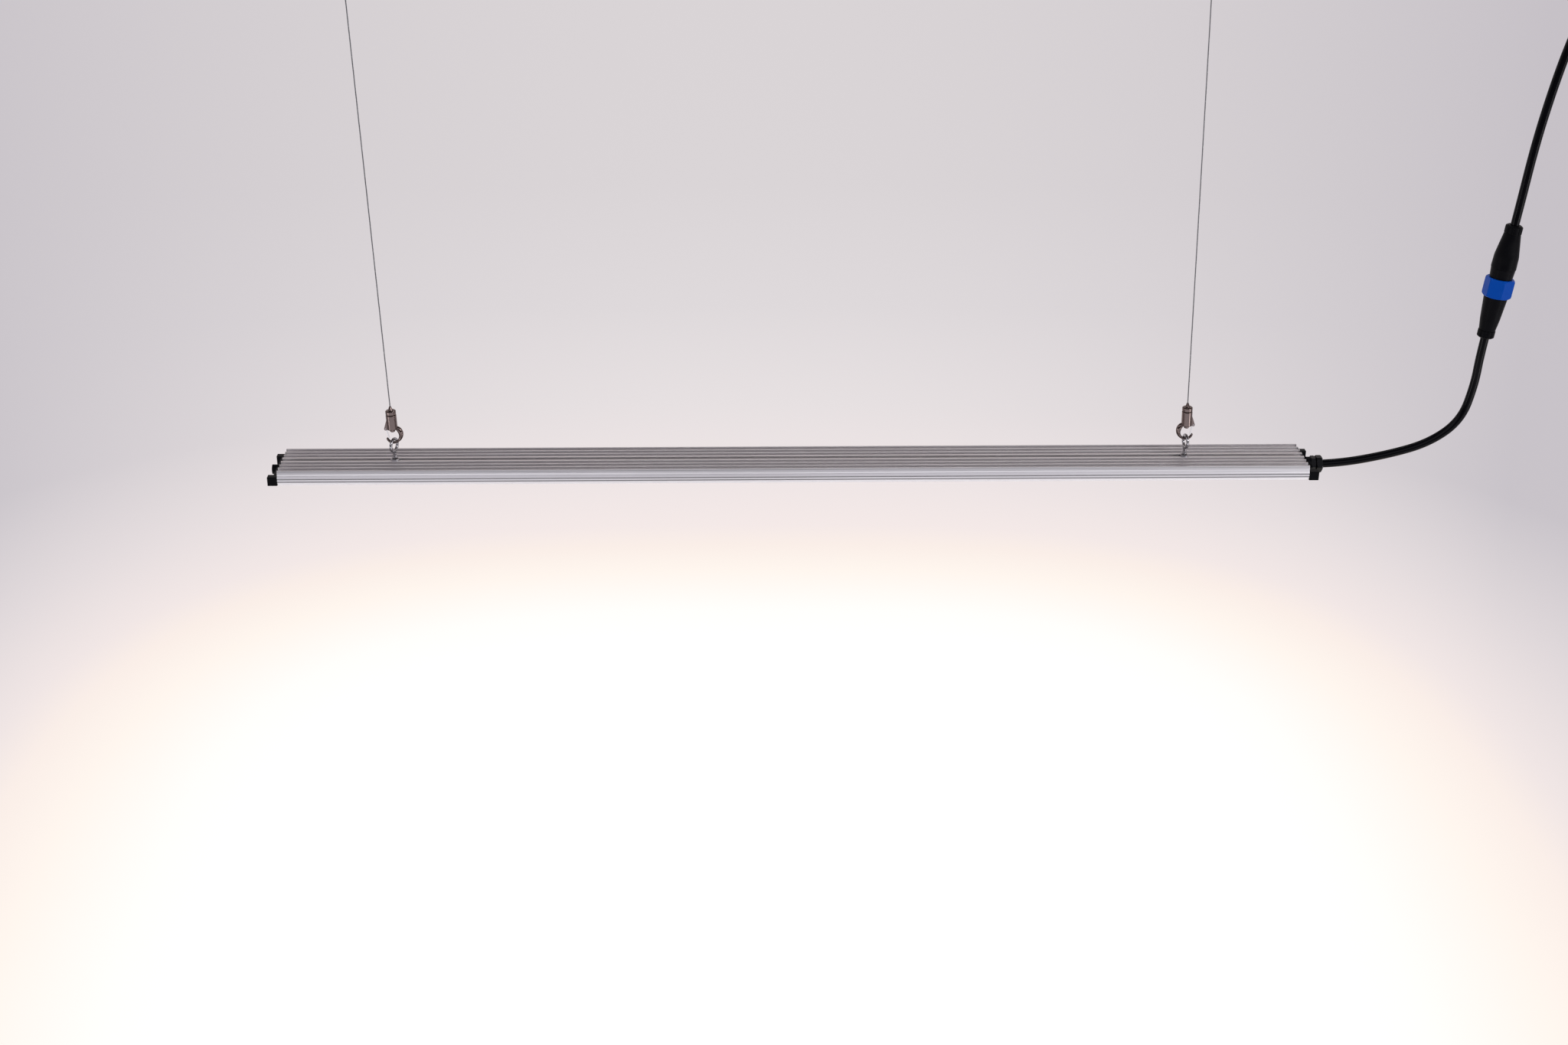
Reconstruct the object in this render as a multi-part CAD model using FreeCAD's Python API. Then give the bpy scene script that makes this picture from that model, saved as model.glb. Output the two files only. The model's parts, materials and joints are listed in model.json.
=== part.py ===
import FreeCAD, Part
import math
import os

Vector = FreeCAD.Vector

# A slim linear grow lamp: a finned light bar that hangs on two thin steel wires.
# Millimetres, +Z up. The origin is on the ceiling face, midway between the two wire
# fittings. The bar lies along X and its front faces -Y.

# ---- how it hangs ----
DROP = 590.0  # ceiling face down to the fin tips
WIRE_LEAN = 1.88  # degrees off plumb: the supply lead draws the bar towards +X
EYE_FROM_LEFT_END = 131.5
EYE_FROM_RIGHT_END = 141.5
FIT = 0.05  # radial clearance of a turning or sliding fit
SEAT = 0.1  # clearance between faces that bear on each other
OVER = 1.0  # a cutter reaches this far past what it cuts, and a boss this far into its plate

# ---- light bar ----
BAR_LENGTH = 1200.0
FOOT_WIDTH = 71.2
BEVEL_IN = 2.5  # the rim of the top lies this far inside the foot
BAR_HEIGHT = 14.2
FINS_PER_SIDE = 2
FIN_THICK = 2.4
FIN_DEPTH = 5.4
FIN_TAPER = 0.35  # how much thicker a fin is at its root, on each side
RIM_WALL = 1.9
SLOT_MOUTH = 6.6
SLOT_LIP = 1.5
SLOT_WIDTH = 10.6
SLOT_HEIGHT = 4.6
SLOT_WALL = 1.8
WEB_THICK = 1.9
LEG_WIDTH = 8.0  # from the wall of the channel out to the foot
FLANK_STEP = 1.2  # the waist of the flank lies this far inside the foot
FLANK_GROOVE = 0.8
CLIP_DEPTH = 1.4  # groove in the channel wall that holds the lens
CLIP_HEIGHT = 1.5
CLIP_UP = 1.3  # from the foot up to the clip groove
PORT_DIA = 3.0  # screw port
PORT_IN = 4.0  # the middle of the port, in from the foot
PORT_DOWN = 11.2

# ---- lens ----
LENS_DROP = 3.8  # how far the lens stands below the metal
LENS_WALL = 1.7
LENS_INSET = 1.0  # the lens edge lies this far inside the foot
LENS_GAP = 0.2
SEAL_WIDTH = 1.6
SEAL_HEIGHT = 0.9

# ---- light engine ----
BOARD_WIDTH = 46.0
BOARD_THICK = 1.6
BOARD_SHORT = 10.0  # the board is this much shorter than the bar
TAPE_THICK = 0.25
LED_PITCH = 25.0
LED_SIZE = 3.5
LED_HEIGHT = 0.8
LED_ROW_SPACING = 22.0
RED_PITCH = 75.0

# ---- end caps ----
CAP_THICK = 11.4  # from the end of the bar to the outer face
CAP_PLATE = 4.4
CAP_DOWN = 7.2  # the cap starts this far below the fin tips
CAP_CORNER = 1.2
PAD_WIDTH = 8.9
GASKET_THICK = 0.8
GASKET_IN = 0.5  # the gasket lies this far inside the cap's outline
SPIGOT_LENGTH = 4.0
SPIGOT_CORNER = 0.8
BLANK_BOSS_DIA = 11.4
PAD_CORNER = 0.5
SCREW_DIA = 2.9
SCREW_LENGTH = 13.0
SCREW_HEAD_DIA = 5.4
SCREW_HEAD_HEIGHT = 2.4
SCREW_SOCKET = 2.5
HEAD_RECESS = 4.4

# ---- cable gland ----
LEAD_DIA = 9.8
GLAND_DOWN = 11.9  # the gland's axis below the fin tips
GLAND_BOSS_DIA = 17.2
GLAND_BOSS_LENGTH = 4.3
GLAND_HEX = 17.4
GLAND_HEX_LENGTH = 5.2
GLAND_NECK_DIA = 13.8
GLAND_NECK_LENGTH = 4.0
GLAND_STUB_DIA = 12.0
STUB_FLOOR = 0.3  # the stub's hole starts this far above the plate
STUB_END = 0.5  # and the stub itself this far
GLAND_NUT_HEX = 18.8
GLAND_NUT_LENGTH = 8.4
GLAND_NUT_GAP = 1.0  # thread seen between the hexagon and the nut
GLAND_LIP = 2.0  # the end wall of the nut
CORE_DIA = 2.2
CORE_HOLE = 6.6
CORE_SPREAD = 3.0  # between the cores where they are soldered to the board
PAD_IN = 6.0  # solder pads, in from the end of the board

# ---- eye bolts ----
EYE_RING = 14.8  # diameter of the ring's centre line
EYE_WIRE = 3.6
EYE_UP = 18.0  # ring centre above the fin tips
EYE_FLARE = 1.6  # the shank widens to this much more than the ring's wire, on each side
EYE_TURN_LEFT = 22.0  # degrees that each ring is turned about its bolt, off square to the bar
EYE_TURN_RIGHT = 8.0
BOLT_DIA = 5.0
BOLT_NECK_DIA = 4.8
COLLAR_DIA = 10.0
COLLAR_HEIGHT = 1.8
SLOT_NUT_LENGTH = 12.0
SLOT_PLAY = 0.3  # of the nut in its slot

# ---- snap hooks and wire grippers ----
HOOK_WIRE = 3.0
HOOK_SEAT = 0.8  # play between the hook and the eye, so that each can turn against the other
HOOK_BEND = 6.8  # radius of the bend that carries the eye
HOOK_BACK_BEND = 10.0
HOOK_BACK_DIA = 5.8  # the back at its fullest
HOOK_ROOT_DIA = 4.2  # the back where it runs into the sleeve
HOOK_TIP_ANGLE = 195.0
HOOK_TURN_ANGLE = 282.0  # where the small bend meets the back
HOOK_END_ANGLE = 60.0
SLEEVE_DIA = 12.4
SLEEVE_LENGTH = 18.2
SLEEVE_UP = 16.6  # underside of the sleeve above the hook's seat
SLEEVE_FLOOR = 3.0
GRIP_TOP_LENGTH = 5.5
GRIP_STEM_DIA = 7.1
GRIP_NECK_DIA = 4.2
GRIP_HEAD_DIA = 6.0
GRIP_HEAD_HEIGHT = 3.0
GRIP_FLOOR = 1.2  # under the spring, inside the stem
WIRE_DIA = 1.4
WIRE_PLAY = 0.15
BALL_DIA = 1.6
BALL_DOWN = 7.8  # ball centres below the top of the gripper
CONE_ANGLE = 8.0
CONE_LENGTH = 5.0  # below the ball centres
PLUNGER_DIA = 5.4
PLUNGER_TUBE_DIA = 3.4
PLUNGER_TRAVEL = 2.0
PLUNGER_NOSE = 4.6
PLUNGER_HEAD = 2.4  # the wide part of the plunger, inside the gripper
PLUNGER_TIP_DIA = 2.4
SPRING_WIRE = 0.5
SPRING_TURNS = 5
GATE_PIVOT_OUT = 7.3
GATE_PIVOT_UP = 18.4
GATE_PIN_DIA = 1.3
GATE_EYE_DIA = 2.6
GATE_WIDTH = 4.0
GATE_THICK = 0.9
GATE_ROOM = 0.3  # above the gate's eye, between the ears
STEM_WALL = 1.0  # between the gripper's stem and the gate's slot
GATE_SHORT = 0.4  # the gate ends this far short of the middle of the hook's tip
EAR_WALL = 1.3
EAR_LENGTH = 12.0  # from the sleeve's underside up
GATE_SPRING_WIRE = 0.3
GATE_SPRING_TURNS = 2.5

# ---- ceiling fittings ----
PLATE_DIA = 46.0
PLATE_THICK = 3.0
PLATE_HOLE_DIA = 4.5
PLATE_HOLE_SPACING = 32.0
PLATE_SINK_DIA = 8.6
PLATE_BOSS_DIA = 16.0
PLATE_BOSS_LENGTH = 8.0
PLATE_BORE_DIA = 9.6
PLATE_SKIN = 0.6  # how far the bore enters the plate
CUP_DIA = 22.0
CUP_LENGTH = 27.0
CUP_TAPER = 5.0
CUP_TAPER_IN = 3.0
STOP_DIA = 6.0
STOP_DOWN = 21.0  # centre of the ball on the wire, below the ceiling
STOP_NECK_DIA = 4.0
STOP_NECK_LENGTH = 7.0
STOP_CAP = 1.0  # over the end of the wire
CUP_MOUTH_DIA = 5.4

# ---- supply outlet on the ceiling ----
OUTLET_DIA = 60.0
OUTLET_HEIGHT = 24.0
OUTLET_RIM = 6.0  # the straight band against the ceiling
OUTLET_TAPER_IN = 7.0
OUTLET_FLOOR = 4.0  # under the screw heads
OUTLET_HOLE_DIA = 4.5
OUTLET_HOLE_SPACING = 44.0
BUSH_DIA = 17.0
BUSH_LENGTH = 14.0
BUSH_WALL = 2.4  # at the lower end
BUSH_LIP = 2.0
BUSH_FUNNEL = 8.0  # its bore widens over this length
BUSH_TOP = 8.0  # it ends this far below the ceiling

# ---- in-line connector, lengths along its own axis from its lower end ----
CONNECTOR_TILT = 6.15  # degrees off plumb
CLAMP_DIA = 19.6
CLAMP_LENGTH = 9.5
CLAMP_FLOOR = 2.4
CLAMP_RIBS = 10
RIB_GROOVE_DIA = 2.2
GROMMET_WALL = 2.5
SOCKET_LENGTH = 42.0
SOCKET_WAIST_UP = 12.0  # the hollow of its taper, above the nut
WAIST_ROUND = 20.0
SOCKET_END_DIA = 27.0
RING_HEX = 29.4
RING_CORNER_DIA = 33.0
RING_LENGTH = 22.0
RING_OVERLAP = 1.1  # the ring covers this much of the socket's shoulder
BEAD_DIA = 2.4  # the beads on the ring's corners
BEAD_SHORT = 2.5  # they end this far inside the ring's ends
RING_CHAMFER = 1.2
FRONT_LENGTH = 12.0
FRONT_START_DIA = 25.6
FRONT_END_DIA = 27.6
PLUG_START_DIA = 28.4
PLUG_BELLY_DIA = 27.6
BELLY_ROUND = 30.0
PLUG_LENGTH = 41.5
PLUG_BELLY_SHARE = 0.35  # where along the plug its belly ends
NOSE_DIA = 21.0  # the plug's nose inside the ring
SOCKET_NOSE_DIA = 24.4
SOCKET_NOSE_LENGTH = 10.0
SEAL_GROOVE_UP = 3.0  # the seal's groove above the end of the plug's nose
SEAL_GROOVE_WIDTH = 1.6
SEAL_GROOVE_DEPTH = 1.2
PIN_DIA = 2.0
PIN_CIRCLE = 9.0
PIN_COUNT = 3
PIN_LENGTH = 22.0
PIN_REACH = 8.0  # from the end of the plug's nose into the sleeves
SLEEVE_WALL = 0.5  # of the contact sleeves
CONTACT_DEPTH = 12.0
CONTACT_FLOOR = 2.0

# ---- routes of the two leads, in X and Z from the middle of the bar's fin tips ----
LAMP_LEAD_ROUTE = [(641.0, -11.9), (701.0, -0.6), (749.0, 14.5), (783.0, 43.0), (792.6, 88.0)]
SUPPLY_LEAD_ROUTE = [
    (819.6, 372.0), (828.5, 430.0), (838.6, 480.0), (850.0, 520.0), (857.0, 546.0), (857.0, 570.0),
]
CONNECTOR_AT = (796.3, 146.7)
LEAD_IN_CONNECTOR = 14.0
LEAD_STRAIGHT = 22.0  # straight piece of lead in front of each end of the connector


# ================= values worked out from the sizes above =================

HALF_BAR = BAR_LENGTH / 2
TOP_WIDTH = FOOT_WIDTH - 2 * BEVEL_IN
CHANNEL_WIDTH = FOOT_WIDTH - 2 * LEG_WIDTH
PORT_SPACING = FOOT_WIDTH - 2 * PORT_IN
SLOT_FLOOR = SLOT_LIP + SLOT_HEIGHT
WEB_DOWN = SLOT_FLOOR + WEB_THICK
LENS_DOWN = BAR_HEIGHT + LENS_DROP
BOARD_DOWN = WEB_DOWN + TAPE_THICK + BOARD_THICK

EYE_LEFT = -HALF_BAR + EYE_FROM_LEFT_END
EYE_RIGHT = HALF_BAR - EYE_FROM_RIGHT_END
LEAN = math.radians(WIRE_LEAN)
HOOK_UP = EYE_UP + EYE_RING / 2 - EYE_WIRE / 2 - HOOK_SEAT - HOOK_WIRE / 2
STOP_ABOVE_HOOK = (DROP - STOP_DOWN - HOOK_UP) / math.cos(LEAN)
ANCHOR_HALF = (EYE_RIGHT - EYE_LEFT) / 2
BAR_SHIFT = STOP_ABOVE_HOOK * math.sin(LEAN) - (EYE_LEFT + EYE_RIGHT) / 2

GRIP_TOP = SLEEVE_UP + SLEEVE_LENGTH + SEAT + GRIP_TOP_LENGTH
BALL_UP = GRIP_TOP - BALL_DOWN
BALL_CENTRES = WIRE_DIA / 2 + BALL_DIA / 2

SEAL_AT = (CHANNEL_WIDTH / 2 + FOOT_WIDTH / 2 - LENS_INSET) / 2 + LENS_INSET

CONNECTOR_AXIS = (math.sin(math.radians(CONNECTOR_TILT)), math.cos(math.radians(CONNECTOR_TILT)))
SOCKET_END = CLAMP_LENGTH + SOCKET_LENGTH
RING_START = SOCKET_END - RING_OVERLAP
FRONT_START = RING_START + RING_LENGTH
PLUG_START = FRONT_START + FRONT_LENGTH
PLUG_END = PLUG_START + PLUG_LENGTH
CONNECTOR_LENGTH = PLUG_END + CLAMP_LENGTH
PIN_START = SOCKET_END - PIN_REACH
SEAL_GROOVE = SOCKET_END + SEAT + SEAL_GROOVE_UP

SCREW_HOLE = SCREW_DIA + 4 * FIT


# ================= small helpers =================


def corner(before, at, after, radius):
    """Start, middle and end of the arc that rounds one corner of an outline."""
    to_before = (before - at).normalize()
    to_after = (after - at).normalize()
    half = to_before.getAngle(to_after) / 2
    reach = radius / math.tan(half)
    start = at + to_before * reach
    end = at + to_after * reach
    inward = (to_before + to_after).normalize()
    middle = at + inward * (radius / math.sin(half) - radius)
    return start, middle, end


def outline(points, plane):
    """A closed face from corners (a, b) or (a, b, radius); plane maps a, b to space."""
    places = [plane(p[0], p[1]) for p in points]
    edges, joints = [], []
    for i, p in enumerate(points):
        radius = p[2] if len(p) > 2 else 0
        if radius:
            before = places[i - 1]
            after = places[(i + 1) % len(points)]
            joints.append(corner(before, places[i], after, radius))
        else:
            joints.append((places[i], None, places[i]))
    for i, (start, middle, end) in enumerate(joints):
        if middle is not None:
            edges.append(Part.Arc(start, middle, end).toShape())
        following = joints[(i + 1) % len(joints)][0]
        if end.distanceToPoint(following) > 1e-6:
            edges.append(Part.LineSegment(end, following).toShape())
    return Part.Face(Part.Wire(edges))


def section(y, z):
    """A point of the bar's cross-section."""
    return Vector(0, y, z)


def bar_prism(points, start, length):
    """A prism along X from a cross-section given as (y, z) or (y, z, radius) corners."""
    solid = outline(points, section).extrude(Vector(length, 0, 0))
    solid.translate(Vector(start, 0, 0))
    return solid


def box(x, y, z):
    """A box from (low, high) pairs."""
    size = (x[1] - x[0], y[1] - y[0], z[1] - z[0])
    return Part.makeBox(size[0], size[1], size[2], Vector(x[0], y[0], z[0]))


def cylinder(dia, start, length, axis=Vector(0, 0, 1)):
    return Part.makeCylinder(dia / 2, length, start, axis)


def turned(profile):
    """A solid turned about the Z axis from (radius, height) or (radius, height, corner) points."""
    face = outline(profile, lambda r, z: Vector(r, 0, z))
    return face.revolve(Vector(0, 0, 0), Vector(0, 0, 1), 360)


def hexagon(across, start, length):
    """A hexagonal prism on the Z axis, a corner towards -Y."""
    rim = across / math.sqrt(3)
    turns = [k * math.pi / 3 for k in range(7)]
    corners = [Vector(rim * math.sin(turn), -rim * math.cos(turn), start) for turn in turns]
    return Part.Face(Part.makePolygon(corners)).extrude(Vector(0, 0, length))


def laid_along_x(shape, x, z, direction=1):
    """A shape made on the Z axis, laid along +X or -X at the given place of the bar."""
    shape.rotate(Vector(0, 0, 0), Vector(0, 1, 0), 90 * direction)
    shape.translate(Vector(x, 0, z))
    return shape


def mirrored_x(shape):
    return shape.mirror(Vector(0, 0, 0), Vector(1, 0, 0))


def merged(shapes):
    return shapes[0].multiFuse(shapes[1:]).removeSplitter()


def at_bar(shape):
    """From the bar's own frame, its middle at the fin tips, to the part's frame."""
    shape.translate(Vector(BAR_SHIFT, 0, -DROP))
    return shape


def at_hook(shape, side):
    """From a hook's own frame, its seat at the origin and the wire on Z, to the part's frame."""
    shape.rotate(Vector(0, 0, 0), Vector(0, 1, 0), -WIRE_LEAN)
    shape.translate(Vector(EYE_LEFT if side == "left" else EYE_RIGHT, 0, HOOK_UP))
    return at_bar(shape)


def at_ceiling(shape, side):
    shape.translate(Vector(-ANCHOR_HALF if side == "left" else ANCHOR_HALF, 0, 0))
    return shape


def at_connector(shape):
    """From the connector's own frame, its lower end at the origin, to the part's frame."""
    shape.rotate(Vector(0, 0, 0), Vector(0, 1, 0), CONNECTOR_TILT)
    shape.translate(Vector(CONNECTOR_AT[0], 0, CONNECTOR_AT[1]))
    return at_bar(shape)


# ================= light bar =================


def top_contour():
    """Half of the bar's top, from the slot's floor out to the rim."""
    slot_out = SLOT_WIDTH / 2 + SLOT_WALL
    rim_in = TOP_WIDTH / 2 - RIM_WALL
    gap = (rim_in - slot_out - FINS_PER_SIDE * FIN_THICK) / (FINS_PER_SIDE + 1)
    points = [
        (SLOT_WIDTH / 2, -SLOT_FLOOR, 0.4),
        (SLOT_WIDTH / 2, -SLOT_LIP),
        (SLOT_MOUTH / 2, -SLOT_LIP),
        (SLOT_MOUTH / 2, 0, 0.3),
        (slot_out, 0, 0.5),
    ]
    y = slot_out
    for _ in range(FINS_PER_SIDE + 1):
        points += [(y + FIN_TAPER, -FIN_DEPTH, 1.0), (y + gap - FIN_TAPER, -FIN_DEPTH, 1.0)]
        points += [(y + gap, 0, 0.5), (y + gap + FIN_THICK, 0, 0.5)]
        y += gap + FIN_THICK
    return points[:-1] + [(TOP_WIDTH / 2, 0, 0.6)]


def flank_contour():
    """The bar's flank from the rim down: bevel, waist, belly, two grooves and the foot."""
    foot = FOOT_WIDTH / 2
    waist = foot - FLANK_STEP
    groove = foot - FLANK_GROOVE
    steps = [0.24, 0.44, 0.59, 0.63, 0.68, 0.72, 0.86, 0.90, 0.95]
    down = [-BAR_HEIGHT * s for s in steps]
    return [
        (waist, down[0], 1.0),
        (waist, down[1], 1.0),
        (foot, down[2], 0.3),
        (foot, down[3]),
        (groove, down[3]),
        (groove, down[5]),
        (foot, down[5], 0.3),
        (foot, down[6], 0.3),
        (groove, down[6] - 0.3),
        (groove, down[8]),
        (foot, down[8]),
        (foot, -BAR_HEIGHT, 0.3),
    ]


def under_contour():
    """Half of the bar's underside, from the foot in to the web: seal groove and lens clip."""
    wall = CHANNEL_WIDTH / 2
    clip_low = -BAR_HEIGHT + CLIP_UP
    return [
        (SEAL_AT + SEAL_WIDTH / 2, -BAR_HEIGHT),
        (SEAL_AT + SEAL_WIDTH / 2, -BAR_HEIGHT + SEAL_HEIGHT - LENS_GAP),
        (SEAL_AT - SEAL_WIDTH / 2, -BAR_HEIGHT + SEAL_HEIGHT - LENS_GAP),
        (SEAL_AT - SEAL_WIDTH / 2, -BAR_HEIGHT),
        (wall, -BAR_HEIGHT),
        (wall, clip_low),
        (wall + CLIP_DEPTH, clip_low),
        (wall + CLIP_DEPTH, clip_low + CLIP_HEIGHT),
        (wall, clip_low + CLIP_HEIGHT),
        (wall, -WEB_DOWN, 0.5),
    ]


def mirrored_section(half):
    """A whole outline from its right half."""
    left = [(-p[0],) + tuple(p[1:]) for p in reversed(half)]
    return half + left


def housing():
    """The extruded bar: fins and T-slot on top, grooved flanks, channel for the light below."""
    half = top_contour() + flank_contour() + under_contour()
    face = outline(mirrored_section(half), section)
    for side in (-1, 1):
        centre = Vector(0, side * PORT_SPACING / 2, -PORT_DOWN)
        port = Part.Face(Part.Wire(Part.makeCircle(PORT_DIA / 2, centre, Vector(1, 0, 0))))
        face = face.cut(port)
    solid = face.Faces[0].extrude(Vector(BAR_LENGTH, 0, 0))
    solid.translate(Vector(-HALF_BAR, 0, 0))
    return solid


def lens():
    """The opal cover: a shallow tray with a foot on each leg that snaps into the bar."""
    edge = FOOT_WIDTH / 2 - LENS_INSET
    top = -BAR_HEIGHT - LENS_GAP
    leg_out = CHANNEL_WIDTH / 2 - LENS_GAP
    leg_in = leg_out - LENS_WALL
    clip_low = -BAR_HEIGHT + CLIP_UP + LENS_GAP
    clip_high = clip_low + CLIP_HEIGHT - 2 * LENS_GAP
    half = [
        (leg_in, -LENS_DOWN + LENS_WALL, 0.8),
        (leg_in, clip_high),
        (leg_out + CLIP_DEPTH, clip_high, 0.3),
        (leg_out + CLIP_DEPTH, clip_low),
        (leg_out, clip_low),
        (leg_out, top),
        (edge, top, 0.4),
        (edge, -LENS_DOWN, 2.6),
    ]
    return bar_prism(mirrored_section(half), -HALF_BAR, BAR_LENGTH)


def lens_seals():
    """Two soft strips between the bar's foot and the lens."""
    strips = []
    for side in (-1, 1):
        middle = side * SEAL_AT
        across = (middle - SEAL_WIDTH / 2, middle + SEAL_WIDTH / 2)
        up = (-BAR_HEIGHT - LENS_GAP, -BAR_HEIGHT + SEAL_HEIGHT - LENS_GAP)
        strips.append(box((-HALF_BAR, HALF_BAR), across, up))
    return Part.makeCompound(strips)


# ================= light engine =================


def board_half():
    return (BAR_LENGTH - BOARD_SHORT) / 2


def thermal_tape():
    up = (-WEB_DOWN - TAPE_THICK, -WEB_DOWN)
    return box((-board_half(), board_half()), (-BOARD_WIDTH / 2, BOARD_WIDTH / 2), up)


def led_board():
    up = (-BOARD_DOWN, -WEB_DOWN - TAPE_THICK)
    return box((-board_half(), board_half()), (-BOARD_WIDTH / 2, BOARD_WIDTH / 2), up)


def led_row(pitch, y):
    """A row of chips along the board, centred on it."""
    count = int((2 * board_half() - 2 * pitch) / pitch) + 1
    first = -(count - 1) * pitch / 2
    half = LED_SIZE / 2
    up = (-BOARD_DOWN - LED_HEIGHT, -BOARD_DOWN)
    chips = []
    for k in range(count):
        x = first + k * pitch
        chips.append(box((x - half, x + half), (y - half, y + half), up))
    return chips


def white_leds():
    front = led_row(LED_PITCH, -LED_ROW_SPACING / 2)
    back = led_row(LED_PITCH, LED_ROW_SPACING / 2)
    return Part.makeCompound(front + back)


def red_leds():
    return Part.makeCompound(led_row(RED_PITCH, 0))


# ================= end caps =================


def cap_half_width():
    return FOOT_WIDTH / 2


def cap_outline(inset, low, high):
    """Corners of an upright rounded rectangle, inset all round."""
    y = cap_half_width() - inset
    return [
        (y, -low + inset, CAP_CORNER),
        (y, -high - inset, CAP_CORNER),
        (-y, -high - inset, CAP_CORNER),
        (-y, -low + inset, CAP_CORNER),
    ]


def spigot_outline(grown=0.0):
    """The plug of the cap that enters the channel under the web, inside the lens legs."""
    half = CHANNEL_WIDTH / 2 - LENS_WALL - 3 * LENS_GAP + grown
    top = -WEB_DOWN - LENS_GAP + grown
    bottom = -LENS_DOWN + LENS_WALL + LENS_GAP - grown
    places = [(half, bottom), (half, top), (-half, top), (-half, bottom)]
    return [(y, z, SPIGOT_CORNER) for y, z in places]


def screw_places():
    return [(side * PORT_SPACING / 2, -PORT_DOWN) for side in (-1, 1)]


def along_x(dia, start, length, y, z):
    """A cylinder that runs along the bar."""
    return cylinder(dia, Vector(start, y, z), length, Vector(1, 0, 0))


def cap_blank():
    """What both end caps share, made for the right end: plate, two pads, spigot, screw recesses."""
    start = HALF_BAR + GASKET_THICK
    plate_end = start + CAP_PLATE
    face_at = HALF_BAR + CAP_THICK
    cap = bar_prism(cap_outline(0, LENS_DOWN, CAP_DOWN), start, CAP_PLATE)
    spigot_end = start + OVER
    spigot_start = HALF_BAR - SPIGOT_LENGTH
    pieces = [bar_prism(spigot_outline(), spigot_start, spigot_end - spigot_start)]
    for side in (-1, 1):
        y_out = side * cap_half_width()
        y_in = side * (cap_half_width() - PAD_WIDTH)
        pad = [
            (y_out, -LENS_DOWN, CAP_CORNER),
            (y_out, -CAP_DOWN, CAP_CORNER),
            (y_in, -CAP_DOWN, PAD_CORNER),
            (y_in, -LENS_DOWN, PAD_CORNER),
        ]
        pieces.append(bar_prism(pad, plate_end - OVER, face_at - plate_end + OVER))
    cap = cap.multiFuse(pieces).removeSplitter()
    for y, z in screw_places():
        shank = along_x(SCREW_HOLE, start - OVER, CAP_THICK + 2 * OVER, y, z)
        head = along_x(SCREW_HEAD_DIA + 6 * FIT, face_at - HEAD_RECESS, HEAD_RECESS + OVER, y, z)
        cap = cap.cut(shank).cut(head)
    return cap


def end_cap_left():
    """The blind cap, with the round blank where the other cap has its cable entry."""
    boss_start = HALF_BAR + GASKET_THICK + OVER
    boss = along_x(BLANK_BOSS_DIA, boss_start, HALF_BAR + CAP_THICK - boss_start, 0, -GLAND_DOWN)
    return mirrored_x(cap_blank().fuse(boss).removeSplitter())


def gland_start():
    """Where the gland's hexagon meets the boss of the right cap."""
    return HALF_BAR + GASKET_THICK + CAP_PLATE + GLAND_BOSS_LENGTH


def end_cap_right():
    """The cap with a threaded boss for the cable gland and a hole for the cores."""
    boss_start = gland_start() - GLAND_BOSS_LENGTH
    boss = along_x(GLAND_BOSS_DIA, boss_start - OVER, GLAND_BOSS_LENGTH + OVER, 0, -GLAND_DOWN)
    cap = cap_blank().fuse(boss).removeSplitter()
    hole_start = HALF_BAR - SPIGOT_LENGTH - OVER
    hole = along_x(CORE_HOLE, hole_start, gland_start() - hole_start, 0, -GLAND_DOWN)
    stub = along_x(GLAND_STUB_DIA, boss_start + STUB_FLOOR, GLAND_BOSS_LENGTH, 0, -GLAND_DOWN)
    return cap.cut(hole).cut(stub)


def end_gasket():
    """A flat seal between the end of the bar and the right cap."""
    seal = bar_prism(cap_outline(GASKET_IN, LENS_DOWN, CAP_DOWN), HALF_BAR, GASKET_THICK)
    cut_start = HALF_BAR - OVER
    cut_length = GASKET_THICK + 2 * OVER
    seal = seal.cut(bar_prism(spigot_outline(LENS_GAP), cut_start, cut_length))
    for y, z in screw_places():
        seal = seal.cut(along_x(SCREW_HOLE, cut_start, cut_length, y, z))
    return seal


def cap_screws():
    """Two socket-head screws in the right cap."""
    head_end = HALF_BAR + CAP_THICK - HEAD_RECESS
    screws = []
    for y, z in screw_places():
        screw = turned([
            (0, 0),
            (SCREW_HEAD_DIA / 2, 0),
            (SCREW_HEAD_DIA / 2, SCREW_HEAD_HEIGHT, 0.5),
            (0, SCREW_HEAD_HEIGHT)
        ])
        shank = cylinder(SCREW_DIA, Vector(0, 0, -SCREW_LENGTH), SCREW_LENGTH)
        screw = screw.fuse(shank).removeSplitter()
        screw = screw.cut(hexagon(SCREW_SOCKET, SCREW_HEAD_HEIGHT / 2, SCREW_HEAD_HEIGHT))
        screw.rotate(Vector(0, 0, 0), Vector(0, 1, 0), 90)
        screw.translate(Vector(head_end, y, z))
        screws.append(screw)
    return Part.makeCompound(screws)


# ================= cable gland =================


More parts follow.
